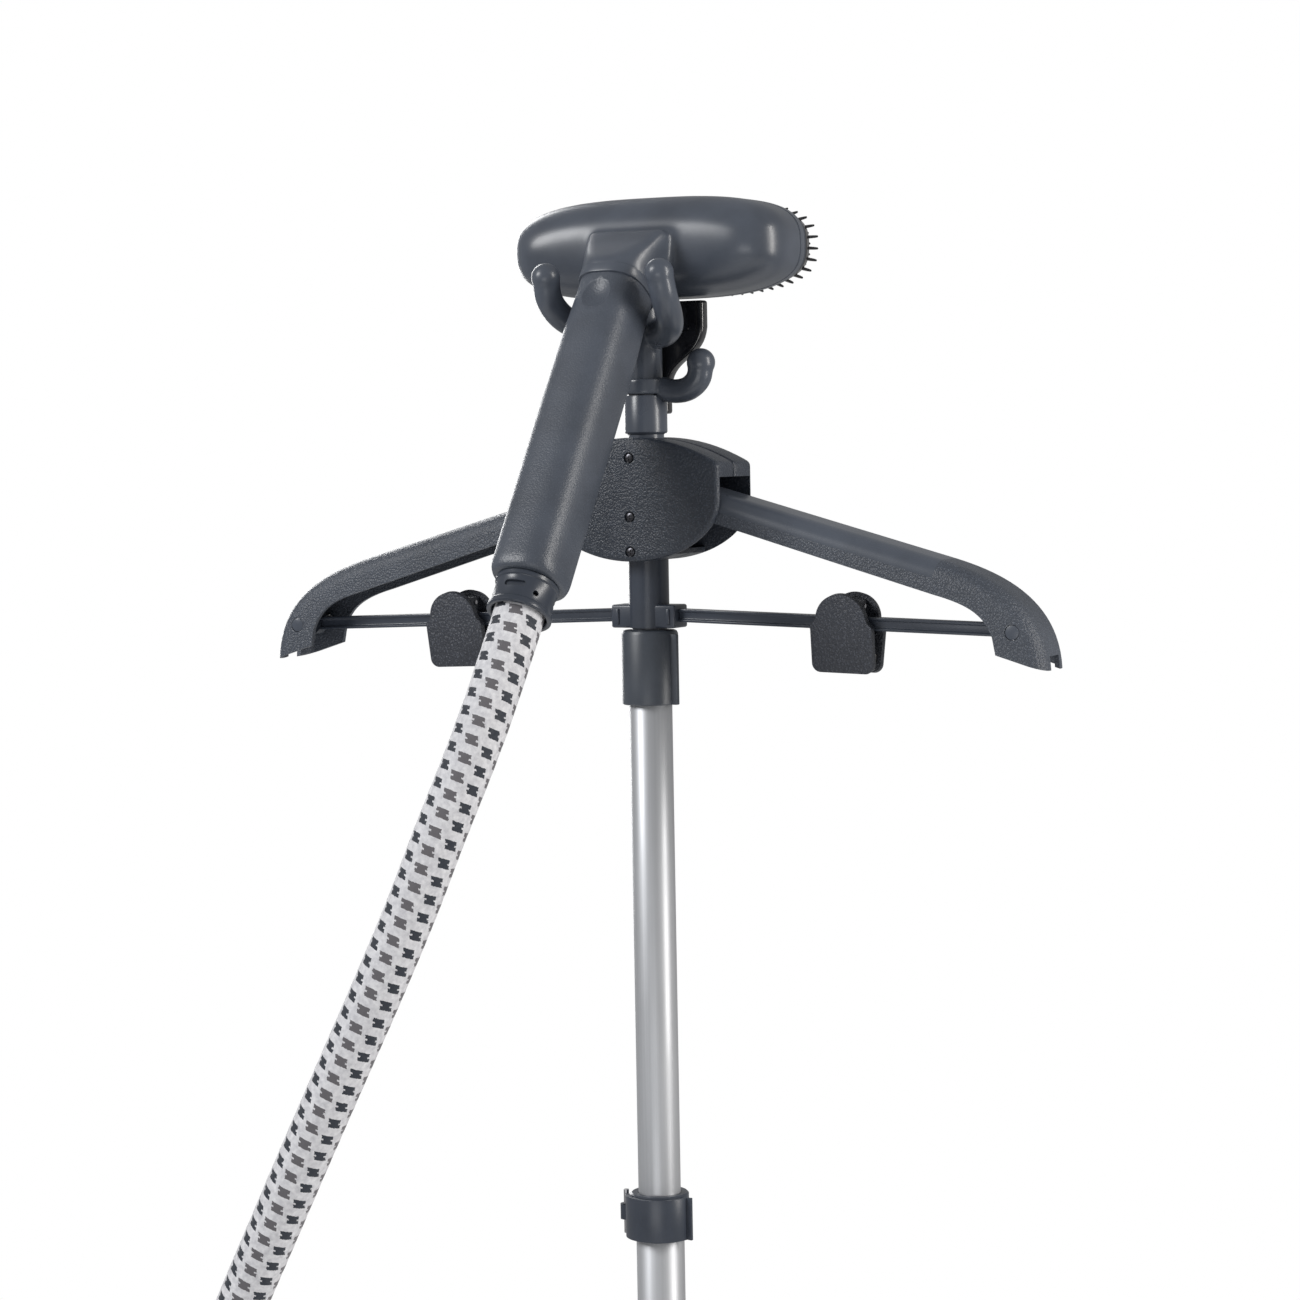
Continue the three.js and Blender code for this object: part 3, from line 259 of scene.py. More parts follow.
def sweep(name, line, radius, sides=24, place=TOP, uv=False, start_length=0.0, ripple=None):
    """A tube round a line, with the turn carried along it so that it never twists."""
    line = [Vector(p) for p in line]
    lengths = [start_length]
    for a, b in zip(line, line[1:]):
        lengths.append(lengths[-1] + (b - a).length)
    normal = Vector((1, 0, 0))
    verts, rings = [], len(line)
    for i, p in enumerate(line):
        tangent = (line[min(i + 1, rings - 1)] - line[max(i - 1, 0)]).normalized()
        normal = (normal - tangent * normal.dot(tangent)).normalized()
        side = tangent.cross(normal)
        r = radius(i / (rings - 1)) if callable(radius) else radius
        for k in range(sides):
            a = 2 * math.pi * k / sides
            rr = r + (ripple(a, lengths[i]) if ripple else 0)
            verts.append(p + normal * (rr * math.cos(a)) + side * (rr * math.sin(a)))
    faces = skin(rings, sides) + caps(rings, sides)
    mesh = bpy.data.meshes.new(name)
    mesh.from_pydata([place @ (Vector(v) * MM) for v in verts], [], faces)
    if uv:
        layer = mesh.uv_layers.new(name="UVMap")
        for poly in mesh.polygons:
            for loop in poly.loop_indices:
                index = mesh.loops[loop].vertex_index
                ring, k = divmod(index, sides)
                if len(poly.vertices) == 4:
                    k = k if not (k == 0 and poly.vertices[0] % sides == sides - 1) else sides
                layer.data[loop].uv = (k / sides, lengths[ring] * MM)
    mesh.update()
    return new_object(name, mesh)


def globe(name, radius, at, place=TOP, rows=24):
    profile = [(radius * math.sin(math.pi * i / rows), -radius * math.cos(math.pi * i / rows))
               for i in range(rows + 1)]
    return turned(name, profile, place @ Matrix.Translation(Vector(at) * MM), rows * 2)


# ---------------------------------------------------------------- materials
class Nodes:
    """Short calls for building a node tree."""

    def __init__(self, name):
        self.material = bpy.data.materials.new(name)
        self.material.use_nodes = True
        self.tree = self.material.node_tree
        self.shader = self.tree.nodes["Principled BSDF"]
        self.coords = self.tree.nodes.new("ShaderNodeTexCoord")

    def node(self, kind, **settings):
        made = self.tree.nodes.new("ShaderNode" + kind)
        for key, value in settings.items():
            setattr(made, key, value)
        return made

    def link(self, output, socket):
        if isinstance(output, (int, float, tuple)):
            socket.default_value = output
        else:
            self.tree.links.new(output, socket)

    def math(self, operation, a, b=0.0):
        made = self.node("Math", operation=operation)
        for value, socket in zip((a, b), made.inputs):
            self.link(value, socket)
        return made.outputs[0]

    def noise(self, scale, detail=3.0, roughness=0.5, source=None):
        made = self.node("TexNoise")
        self.link(source or self.coords.outputs["Object"], made.inputs["Vector"])
        made.inputs["Scale"].default_value = scale
        made.inputs["Detail"].default_value = detail
        made.inputs["Roughness"].default_value = roughness
        return made.outputs["Fac"]

    def cells(self, scale):
        made = self.node("TexVoronoi")
        self.link(self.coords.outputs["Object"], made.inputs["Vector"])
        made.inputs["Scale"].default_value = scale
        return made.outputs["Distance"]

    def span(self, value, low, high, to_low, to_high):
        made = self.node("MapRange")
        self.link(value, made.inputs["Value"])
        for key, number in zip(("From Min", "From Max", "To Min", "To Max"),
                               (low, high, to_low, to_high)):
            made.inputs[key].default_value = number
        return made.outputs["Result"]

    def mix(self, factor, a, b):
        made = self.node("Mix", data_type="RGBA")
        self.link(factor, made.inputs["Factor"])
        self.link(a, made.inputs[6])
        self.link(b, made.inputs[7])
        return made.outputs[2]

    def bump(self, height, strength, distance):
        made = self.node("Bump")
        made.inputs["Strength"].default_value = strength
        made.inputs["Distance"].default_value = distance
        self.link(height, made.inputs["Height"])
        return made.outputs["Normal"]

    def set(self, **values):
        for key, value in values.items():
            self.link(value, self.shader.inputs[key.replace("_", " ")])
        return self.material


def plastic(name, colour, rough, grain, grain_size, painted_highlight=0.0, coat=0.0):
    """Moulded plastic: pebbled grain, faint cloudiness, worn gloss and painted highlights on the grain's peaks.
    """
    n = Nodes(name)
    pebble = n.cells(1.0 / (grain_size * MM))
    fine = n.noise(1.9 / (grain_size * MM), 2.0)
    height = n.math("ADD", n.math("MULTIPLY", pebble, -0.7), n.math("MULTIPLY", fine, 0.6))
    cloud = n.noise(26.0, 4.0, 0.6)
    dark = tuple(c * 0.86 for c in colour) + (1.0,)
    pale = tuple(min(1.0, c * 1.14) for c in colour) + (1.0,)
    base = n.mix(n.span(cloud, 0.35, 0.65, 0.0, 1.0), dark, pale)
    if painted_highlight > 0:
        # painted highlight: the grain's peaks are lightened towards a pale colour, standing in for glints of
        # light on the grain
        peak_highlight_mask = n.span(height, 0.02, 0.2, 0.0, painted_highlight)
        base = n.mix(peak_highlight_mask, base, tuple(min(1.0, c * 2.6 + 0.02) for c in colour) + (1.0,))
    smear = n.noise(9.0, 5.0, 0.65)
    n.set(Base_Color=base, Roughness=n.span(smear, 0.3, 0.7, rough - 0.06, rough + 0.07), IOR=1.49)
    if coat:
        n.set(Coat_Weight=coat, Coat_Roughness=0.12)
    return n.set(Normal=n.bump(height, grain, 0.12 * grain_size * MM * 4))


def tube_metal(name, colour):
    """Satin anodised tube: faint lines along its length and soft cloudy gloss."""
    n = Nodes(name)
    stretch = n.node("Mapping")
    n.link(n.coords.outputs["Object"], stretch.inputs["Vector"])
    stretch.inputs["Scale"].default_value = (900.0, 900.0, 5.0)
    lines = n.noise(1.0, 3.0, 0.6, stretch.outputs["Vector"])
    cloud = n.noise(14.0, 3.0)
    base = n.mix(n.span(lines, 0.35, 0.65, 0.0, 1.0), tuple(c * 0.93 for c in colour) + (1.0,),
                 colour + (1.0,))
    return n.set(Base_Color=base, Metallic=0.55, Roughness=n.span(cloud, 0.3, 0.7, 0.4, 0.5),
                 Normal=n.bump(lines, 0.06, 0.0001))


def metal(name, colour, rough):
    n = Nodes(name)
    lines = n.noise(700.0, 2.0)
    return n.set(Base_Color=n.mix(lines, tuple(c * 0.85 for c in colour) + (1.0,), colour + (1.0,)),
                 Metallic=1.0, Roughness=n.span(lines, 0.2, 0.8, rough - 0.05, rough + 0.08),
                 Normal=n.bump(lines, 0.08, 0.0001))


def clear(name, colour):
    n = Nodes(name)
    haze = n.noise(60.0, 3.0)
    return n.set(Base_Color=colour + (1.0,), Roughness=n.span(haze, 0.3, 0.7, 0.04, 0.12), IOR=1.46,
                 Transmission_Weight=0.86, Alpha=1.0, Normal=n.bump(haze, 0.03, 0.0004))


HOSE_COLUMNS = 8.0
HOSE_PITCH = 9.0
HOSE_SHIFT = 0.37                  # each column's rows start this much later than its neighbour's


def hose_sleeve():
    """Woven sleeve: white yarn, with columns of dark and grey marks, each two wide bars and a narrow waist."""
    n = Nodes("hose_sleeve")
    split = n.node("SeparateXYZ")
    n.link(n.coords.outputs["UV"], split.inputs[0])
    around, along = split.outputs[0], split.outputs[1]
    turn = n.math("MULTIPLY", around, HOSE_COLUMNS)
    column = n.math("FLOOR", turn)
    across = n.math("SUBTRACT", n.math("FRACT", turn), 0.5)
    rows = n.math("ADD", n.math("DIVIDE", along, HOSE_PITCH * MM),
                  n.math("MULTIPLY", column, HOSE_SHIFT))
    up = n.math("SUBTRACT", n.math("FRACT", rows), 0.5)
    wobble = n.math("MULTIPLY", n.math("SUBTRACT", n.noise(900.0, 2.0), 0.5), 0.16)
    lean = n.math("MULTIPLY", up, 0.3)
    x = n.math("ABSOLUTE", n.math("ADD", n.math("ADD", across, wobble), lean))
    y = n.math("ABSOLUTE", n.math("ADD", up, n.math("MULTIPLY", wobble, 0.5)))

    def under(value, limit):
        return n.math("LESS_THAN", value, limit)

    waist = n.math("MULTIPLY", under(x, 0.22), under(y, 0.16))
    bars = n.math("MULTIPLY", under(x, 0.34),
                  n.math("MULTIPLY", under(y, 0.25), n.math("GREATER_THAN", y, 0.045)))
    mark = n.math("MAXIMUM", waist, bars)
    odd = n.math("GREATER_THAN", n.math("FRACT", n.math("MULTIPLY", column, 0.5)), 0.25)
    ink = n.mix(odd, (0.012, 0.017, 0.028, 1.0), (0.1, 0.095, 0.105, 1.0))
    yarn = n.math("MULTIPLY", n.math("SINE", n.math("MULTIPLY", around, 2 * math.pi * 96.0)),
                  n.math("SINE", n.math("MULTIPLY", along, 2 * math.pi / (0.9 * MM))))
    shade = n.noise(420.0, 3.0)
    white = n.mix(n.span(shade, 0.3, 0.7, 0.0, 1.0), (0.42, 0.42, 0.45, 1.0),
                  (0.66, 0.66, 0.68, 1.0))
    sheen = n.mix(n.span(yarn, -1.0, 1.0, 0.0, 0.35), white, (0.8, 0.8, 0.83, 1.0))
    height = n.math("ADD", n.math("MULTIPLY", yarn, 0.5), n.math("MULTIPLY", mark, -0.25))
    return n.set(Base_Color=n.mix(mark, sheen, ink), Roughness=n.span(shade, 0.3, 0.7, 0.5, 0.72),
                 Sheen_Weight=0.25, Sheen_Roughness=0.4, Normal=n.bump(height, 0.45, 0.0002))


# in plastic(), the number after the grain size is the strength of the painted highlight on the grain's peaks
MATERIALS = {
    "satin_slate": plastic("satin_slate", (0.062, 0.072, 0.092), 0.3, 0.05, 0.6),
    "grip_slate": plastic("grip_slate", (0.056, 0.065, 0.083), 0.36, 0.3, 0.9, 0.1),
    "grain_slate": plastic("grain_slate", (0.046, 0.054, 0.07), 0.4, 0.8, 1.1, 0.4),
    "grain_navy": plastic("grain_navy", (0.02, 0.026, 0.038), 0.38, 0.8, 1.0, 0.45),
    "coarse_navy": plastic("coarse_navy", (0.03, 0.034, 0.045), 0.42, 1.0, 1.4, 0.5),
    "satin_navy": plastic("satin_navy", (0.034, 0.041, 0.056), 0.3, 0.06, 0.6),
    "collar_slate": plastic("collar_slate", (0.046, 0.054, 0.068), 0.34, 0.1, 0.6),
    "gloss_black": plastic("gloss_black", (0.006, 0.006, 0.008), 0.16, 0.02, 0.5, 0.0, 0.6),
    "pale_plastic": plastic("pale_plastic", (0.62, 0.6, 0.57), 0.45, 0.1, 0.5),
    "rubber": plastic("rubber", (0.014, 0.014, 0.016), 0.72, 0.3, 0.7, 0.05),
    "tube": tube_metal("tube", (0.44, 0.45, 0.47)),
    "steel": metal("steel", (0.5, 0.5, 0.52), 0.28),
    "dark_steel": metal("dark_steel", (0.09, 0.09, 0.1), 0.32),
    "tank": clear("tank", (0.55, 0.66, 0.75)),
    "hose": hose_sleeve(),
}


def dress(piece, material, body, slot, *nodes):
    piece.data.materials.clear()
    piece.data.materials.append(MATERIALS[material])
    if body:
        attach(piece, body)
    if nodes:
        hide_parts(*nodes)
    return piece


# ---------------------------------------------------------------- camera, light and stage
CAMERA_TURN = math.radians(27.307)
CAMERA_TILT = math.radians(-3.581)
CAMERA_ROLL = math.radians(-1.026)
CAMERA_AWAY = 1.6747
CAMERA_RISE = 0.0277
CAMERA_LENS = 90.36


def camera():
    data = bpy.data.cameras.new("view")
    data.sensor_width = 36.0
    data.lens = CAMERA_LENS
    data.clip_end = 50
    cam = bpy.data.objects.new("view", data)
    bpy.context.scene.collection.objects.link(cam)
    sin, cos = math.sin(CAMERA_TURN), math.cos(CAMERA_TURN)
    ahead = Vector((-sin * math.cos(CAMERA_TILT), cos * math.cos(CAMERA_TILT),
                    math.sin(CAMERA_TILT)))
    right = Vector((cos, sin, 0))
    up = right.cross(ahead)
    tilted_right = right * math.cos(CAMERA_ROLL) + up * math.sin(CAMERA_ROLL)
    tilted_up = up * math.cos(CAMERA_ROLL) - right * math.sin(CAMERA_ROLL)
    turn = Matrix((tilted_right, tilted_up, -ahead)).transposed().to_4x4()
    place = ORIGIN + Vector((sin * CAMERA_AWAY, -cos * CAMERA_AWAY, CAMERA_RISE))
    cam.matrix_world = Matrix.Translation(place) @ turn
    bpy.context.scene.camera = cam
    return place


def lamp(name, at, aim, size, power, colour=(1, 1, 1)):
    data = bpy.data.lights.new(name, "AREA")
    data.shape = "RECTANGLE"
    data.size, data.size_y = size
    data.energy = power
    data.color = colour
    light = bpy.data.objects.new(name, data)
    bpy.context.scene.collection.objects.link(light)
    light.location = at
    light.rotation_euler = (Vector(aim) - Vector(at)).to_track_quat("-Z", "Y").to_euler()


def studio():
    scene = bpy.context.scene
    scene.view_settings.view_transform = "Standard"
    world = bpy.data.worlds.new("studio")
    world.use_nodes = True
    scene.world = world
    tree = world.node_tree
    fill = tree.nodes["Background"]
    fill.inputs["Color"].default_value = (1, 1, 1, 1)
    fill.inputs["Strength"].default_value = 0.34
    seen = tree.nodes.new("ShaderNodeBackground")
    seen.inputs["Color"].default_value = (1, 1, 1, 1)
    seen.inputs["Strength"].default_value = 1.0
    rays = tree.nodes.new("ShaderNodeLightPath")
    mix = tree.nodes.new("ShaderNodeMixShader")
    tree.links.new(rays.outputs["Is Camera Ray"], mix.inputs[0])
    tree.links.new(fill.outputs[0], mix.inputs[1])
    tree.links.new(seen.outputs[0], mix.inputs[2])
    tree.links.new(mix.outputs[0], tree.nodes["World Output"].inputs[0])
    middle = (0, 0.05, 1.1)
    lamp("key", (-1.3, -1.6, 2.4), (0, 0, 1.25), (0.8, 1.0), 40)
    lamp("side", (1.7, 0.1, 1.6), middle, (0.25, 1.6), 26, (1, 0.97, 0.93))
    lamp("rim", (-1.4, 1.3, 1.8), middle, (0.5, 1.6), 16)
    lamp("low", (0.5, -2.0, 0.7), (0, 0, 0.6), (1.2, 0.8), 7)
    floor = cylinder("floor", 1500, -1.0, -0.2, Matrix.Identity(4), 96)
    paper = bpy.data.materials.new("paper")
    paper.use_nodes = True
    paper.node_tree.nodes["Principled BSDF"].inputs["Base Color"].default_value = (0.86, 0.86, 0.86, 1)
    paper.node_tree.nodes["Principled BSDF"].inputs["Roughness"].default_value = 0.7
    floor.data.materials.append(paper)


# ---------------------------------------------------------------- hose
HOSE_WIDE = 25.0
HOSE_UPPER = [
    (0, -76.7, 1254), (0, -80.5, 1248.4), (0, -84.5, 1242.5), (-1, -91.8, 1230),
    (-4.5, -101.5, 1208),
    (-11.5, -111.5, 1180), (-22, -120.5, 1148), (-35, -127, 1112), (-51, -132.5, 1074),
    (-70, -136, 1034),
    (-90, -137.5, 994), (-112, -136.5, 952), (-133, -133.4, 914), (-147.9, -130.3, 884.9),
    (-153, -129, 874),
]
HOSE_LOWER = [
    (-153, -129, 874), (-158.1, -127.7, 863.1), (-173, -123.5, 829),
    (-187, -118, 788), (-200, -111, 738), (-208, -104, 686), (-212.5, -97, 632), (-213, -91, 576),
    (-210, -85.5, 522), (-203, -80.5, 470), (-193, -76, 422), (-180, -72, 378), (-165, -68.5, 340),
    (-148, -66.5, 305), (-132, -65.3, 275.5), (-120.6, -65, 256), (-109.7, -65, 237.9),
]


def line_length(line):
    return sum((b - a).length for a, b in zip(line, line[1:]))


def weave(angle, along):
    """Low relief of the braided sleeve."""
    return 0.12 * math.sin(angle * 24 + along * 1.4) * math.sin(angle * 24 - along * 1.4)


def hose():
    world = Matrix.Identity(4)
    upper_line = spline(HOSE_UPPER, 12)
    lower_line = spline(HOSE_LOWER, 12)
    radius = HOSE_WIDE / 2 - 0.2
    upper = sweep("hose_sleeve_upper", upper_line, radius, 96, world, True, 0.0, weave)
    smooth(upper, 60)
    dress(upper, "hose", None, "hose_weave", "hose_upper")
    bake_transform(upper)
    lower = sweep("hose_sleeve_lower", lower_line, radius, 96, world, True, line_length(upper_line),
                  weave)
    smooth(lower, 60)
    dress(lower, "hose", None, "hose_weave", "hose_lower")
    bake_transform(lower)


# ---------------------------------------------------------------- pole
def tube_piece(name, radius, wall, low, high, place=TOP):
    lip = 0.4
    profile = [(radius - wall, low), (radius - lip, low), (radius, low + lip), (radius, high - lip),
               (radius - lip, high), (radius - wall, high), (radius - wall, low)]
    return smooth(turned(name, profile, place, 96), 50)


TUBES = (("upper_pole", "top", 11.0), ("lower_pole", "base", 12.5))
TUBE_WALL = 1.2
CLAMP_INNER, CLAMP_OUTER, CLAMP_NECK = 12.8, 15.2, 11.3     # radii; the neck is the rim round the upper tube
CLAMP_KNUCKLE = 3.2                # hinge's radius, 4.4 mm out from the band


def pole():
    axis = Matrix.Translation(Vector((ORIGIN.x, ORIGIN.y, 0)))
    for node, body, wide in TUBES:
        low, high = (Vector(p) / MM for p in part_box(node))
        dress(tube_piece(node + "_tube", wide, TUBE_WALL, low.z, high.z, axis), "tube", body,
              "pole_metal", node)
    low, high = (Vector(p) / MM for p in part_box("clamp_band"))
    inner, outer = CLAMP_INNER, CLAMP_OUTER
    pin_x = -(outer + 4.4)
    hinge = axis @ Matrix.Translation(Vector((pin_x, 0, 0)) * MM)
    middle = (low.z + high.z) / 2
    third = (high.z - low.z) / 6       # half of the middle third, which the lever turns in
    band = turned("clamp_ring", [
        (inner, low.z), (outer - 0.8, low.z), (outer, low.z + 0.8), (outer, high.z - 0.8),
        (outer - 0.8, high.z), (CLAMP_NECK, high.z), (CLAMP_NECK, high.z - 4), (inner, high.z - 4),
        (inner, low.z)], axis, 72)
    block = bevel(brick("clamp_block", (pin_x, -3.2, low.z), (-inner - 1, 6, high.z), axis), 0.8, 2)
    knuckle = cylinder("clamp_knuckle", CLAMP_KNUCKLE, low.z, high.z, hinge, 32)
    slot_box = brick("slot", (pin_x - 9, -9, middle - third - 0.3),
                     (-outer - 0.3, 3.6, middle + third + 0.3), axis)
    band = merge("clamp_body", carve(merge("clamp_hinge", block, knuckle), slot_box), band)
    dress(smooth(band), "satin_navy", "base", "navy", "clamp_band")
    leaf_in, leaf_out = outer + 0.3, outer + 2.6
    outline = (arc(0, 0, leaf_out, leaf_out, 190, 348, 40)
               + [(leaf_out + 2.4, -4.4), (leaf_out + 2.6, -2.8),
               (leaf_in + 0.2, -2.6)] + arc(0, 0, leaf_in, leaf_in, 349, 190, 40))
    leaf = prism("clamp_leaf", outline, low.z + 1, high.z - 1, "Z", axis)
    clear_up = brick("up", (pin_x - 9, -6.5, middle + third), (-outer + 2.6, 7, high.z + 1), axis)
    clear_down = brick("down", (pin_x - 9, -6.5, low.z - 1), (-outer + 2.6, 7, middle - third),
                       axis)
    leaf = bevel(carve(leaf, clear_up, clear_down), 0.7, 3, 40)
    barrel = cylinder("barrel", CLAMP_KNUCKLE, middle - third, middle + third, hinge, 32)
    web = brick("web", (pin_x - 0.5, -3.2, middle - third), (-leaf_in + 1.0, -1.2, middle + third),
                axis)
    dress(smooth(merge("clamp_lever_leaf", leaf, barrel, web)), "satin_navy", "clamp_lever", "navy",
          "clamp_lever")


def collar():
    low, high = -104.8, -66.6
    radius, bore = 14.6, 11.3
    sleeve = turned("collar_sleeve", [
        (bore, low), (radius - 0.6, low), (radius, low + 0.6), (radius, high - 2),
        (radius - 0.7, high - 0.5),
        (radius - 2, high), (9.6, high), (9.6, high - 3), (bore, high - 3.2), (bore, low)], TOP, 96)
    flap = bevel(brick("collar_flap", (8, -4.2, low), (17.4, -1.4, high - 2)), 0.5, 2)
    dress(smooth(merge("collar_moulding", sleeve, flap)), "collar_slate", "top", "slate", "collar")


# ---------------------------------------------------------------- hanger
HUB_HALF, HUB_SHOULDER, HUB_BOTTOM, HUB_DEEP = 50.0, 18.5, 31.0, 20.0
HUB_WALL = 2.5
SCREWS = (("hub_screw_upper", 21.7), ("hub_screw_middle", -8.2), ("hub_screw_lower", -26.0))


def hub_outline(inset=0.0):
    half = HUB_HALF - inset
    right = arc(0, 0, half, HUB_BOTTOM - inset, 180, 360, 56)
    shoulder, crown = HUB_SHOULDER - inset, HUB_TOP - inset
    rise = bezier((half, shoulder), (half * 0.66, crown - 4), (half * 0.33, crown), (0, crown), 14)
    fall = [(-x, z) for x, z in rise[::-1]][1:] + [(-half, shoulder)]
    return right + [(half, shoulder)] + rise + fall


def hub():
    wall = HUB_WALL
    for name, front, back, inner in (
        ("hub_front", -HUB_DEEP, -0.2, (-HUB_DEEP + wall, 9)),
        ("hub_back", 0.2, HUB_DEEP, (-9, HUB_DEEP - wall)),
    ):
        shell = bevel(prism(name + "_shell", hub_outline(), front, back, "Y"), 2.2, 4, 40)
        tools = [prism("hollow", hub_outline(wall), inner[0], inner[1], "Y")]
        for side in (-1, 1):
            xs = sorted((side * (HUB_HALF - 26), side * (HUB_HALF + 5)))
            tools.append(brick("gate", (xs[0], -HUB_DEEP + wall, -34),
                               (xs[1], HUB_DEEP - wall, 11.5)))
        tools.append(cylinder("stem_hole", 10.7, -40, -20))
        tools.append(cylinder("post_hole", 9.5, 20, 40))
        if name == "hub_front":
            for _, z in SCREWS:
                tools.append(peg("seat", 2.9, -HUB_DEEP - 1, -HUB_DEEP + 1.2, 0, z))
        carve(shell, *tools)
        dress(smooth(shell), "grain_navy", "top", "navy", name)


def screws():
    for node, z in SCREWS:
        face = -HUB_DEEP + 0.25
        dome = turned(node + "_dome", [(0, face - 0.05), (1.2, face), (2.0, face + 0.25),
                                       (2.3, face + 0.7),
                                       (2.3, face + 0.9), (1.2, face + 0.9), (1.2, -14.2),
                                       (0, -14.2)], facing(0, z), 32)
        across = brick("across", (-1.35, face - 1, z - 0.28), (1.35, face + 0.6, z + 0.28))
        upright = brick("upright", (-0.28, face - 1, z - 1.35), (0.28, face + 0.6, z + 1.35))
        dress(smooth(carve(dome, across, upright)), "dark_steel", "top", "steel", node)


ARM_DEEP, ARM_WALL = 17.0, 2.5
BAR_X, BAR_Z = 204.6, -65.1        # tip pin; the bar starts at BAR_START
BAR_START, BAR_START_Z = 18.6, -59.0
BAR_ROOT, BAR_TIP = Vector((BAR_START, 0, BAR_START_Z)), Vector((BAR_X, 0, BAR_Z))
BAR_PIN, BAR_HOLE = 3.6, 3.8       # radii


def arm_side(skin, side):
    root = 33.0
    upper = [(root, 7.6 - skin), (166, -30.2 - skin)]
    upper += bezier((166, -30.2 - skin), (194 - skin * 0.3, -38.4 - skin),
                    (219 - skin, -52 - skin * 0.6),
                    (220.5 - skin, -83.8), 22)
    if skin:
        upper += [(220.5 - skin, -130), (root - 6, -130), (root - 6, 9.4 - skin)]
    else:
        upper += [(196, -76.2), (194.3, -67.5)]
        upper += bezier((194.3, -67.5), (190, -56), (181, -51.5), (164, -47), 14)
        upper += [(113.7, -32), (62, -16.5), (root, -8)]
    return [(side * x, z) for x, z in upper]


def arm_top(x, skin):
    """Height of an arm's top skin at a distance from the hub, near enough to pick its edges by."""
    top = arm_side(0, 1)[:24]
    for a, b in zip(top, top[1:]):
        if a[0] <= x <= b[0] and b[0] > a[0]:
            return a[1] + (b[1] - a[1]) * (x - a[0]) / (b[0] - a[0]) - skin
    return top[-1][1]


def round_top(piece, radius, skin):
    """Rounds only the two long top edges of an arm."""
    work = bmesh.new()
    work.from_mesh(piece.data)
    face_y = ARM_DEEP - skin
    chosen = []
    for edge in work.edges:
        local = [(v.co - ORIGIN) / MM for v in edge.verts]
        if not all(abs(abs(p.y) - face_y) < 0.05 for p in local) or local[0].y * local[1].y < 0:
            continue
        if (local[0] - local[1]).length < 0.01:
            continue
        middle = (local[0] + local[1]) / 2
        if middle.z > arm_top(abs(middle.x), skin) - 3.5 and abs(local[0].x - local[1].x) > 0.01:
            chosen.append(edge)
        elif abs(middle.x) > 205 and abs(local[0].z - local[1].z) > 0.3 and abs(middle.x) > 219 - skin - 14 and (
                middle.z > -83 and abs(middle.x) - 196 > (-76.2 - middle.z) * 0.2 + 12):
            chosen.append(edge)
    bmesh.ops.bevel(work, geom=chosen, offset=radius * MM, segments=8, profile=0.5, affect="EDGES",
                    clamp_overlap=True, loop_slide=True)
    work.to_mesh(piece.data)
    work.free()
    return piece


def arms():
    for side, label in ((-1, "left"), (1, "right")):
        body = prism(f"arm_{label}_channel", arm_side(0, side), -ARM_DEEP, ARM_DEEP, "Y")
        round_top(body, 9.0, 0.0)
        channel = prism("channel", arm_side(ARM_WALL, side), -ARM_DEEP + ARM_WALL,
                        ARM_DEEP - ARM_WALL, "Y")
        carve(body, round_top(channel, 7.0, ARM_WALL))
        tip_x, tip_z = side * BAR_X, BAR_Z
        carve(body, peg("hole", BAR_HOLE, -ARM_DEEP - 2, ARM_DEEP + 2, tip_x, tip_z))
        mouth = sorted((side * 214, side * 224))
        notch = brick("notch", (mouth[0], -6, -90), (mouth[1], 6, -77))
        carve(body, notch)
        smooth(body, 34)
        dress(body, "grain_slate", "top", "slate", f"arm_{label}")
        body.data.materials.append(MATERIALS["satin_slate"])
        limit = 131.0 if side > 0 else 60.0
        for face in body.data.polygons:
            if abs(face.center.x - ORIGIN.x) / MM < limit:
                face.material_index = 1
        pin = peg(f"bar_pin_{label}_cap", BAR_PIN, -ARM_DEEP + 0.15, ARM_DEEP - 0.15, tip_x, tip_z)
        dress(smooth(bevel(pin, 0.3, 2, 60)), "satin_slate", "top", "slate", f"bar_pin_{label}")
        bar(side, label)


def bar(side, label):
    """Cross bar with a shallow groove down each face."""
    along = (BAR_TIP - BAR_ROOT).normalized()
    section = [(-3.5, -3.35), (3.5, -3.35), (3.5, -2.1), (2.6, -1.6), (2.6, 1.6), (3.5, 2.1),
               (3.5, 3.35),
               (-3.5, 3.35), (-3.5, 2.1), (-2.6, 1.6), (-2.6, -1.6), (-3.5, -2.1)]
    stops = (BAR_ROOT, BAR_TIP - along * 4.5)
    verts = [(side * end.x, y, end.z + z) for end in stops for y, z in section]
    faces = caps(2, len(section)) + skin(2, len(section))
    rail = bevel(from_lists(f"bar_{label}_rail", verts, faces), 0.3, 2, 30)
    eye = peg("eye", 6.0, -3.5, 3.5, side * BAR_X, BAR_Z)
    carve(eye, peg("eye_hole", BAR_HOLE, -9, 9, side * BAR_X, BAR_Z))
    dress(smooth(merge(f"bar_{label}_rail", rail, eye)), "satin_navy", "top", "navy",
          f"bar_{label}")


def stem():
    shaft = cylinder("stem_shaft", 12, -26.8, -23.8)
    column = cylinder("stem_column", 10.4, -65.4, -24.5, TOP, 64)
    neck = cylinder("stem_neck", 9, -98.8, -64.6)
    lugs = bevel(brick("lugs", (-18.3, -7.5, -65.4), (18.3, 7.5, -53.5)), 1.2, 3)
    ribs = [bevel(brick("rib", (x - 0.9, -8.3, -63.5), (x + 0.9, 8.3, -55.5)), 0.4, 2)
            for x in (-14.5, 14.5)]
    dress(smooth(merge("stem_moulding", shaft, column, neck, lugs, *ribs)), "satin_navy", "top",
          "navy", "stem")


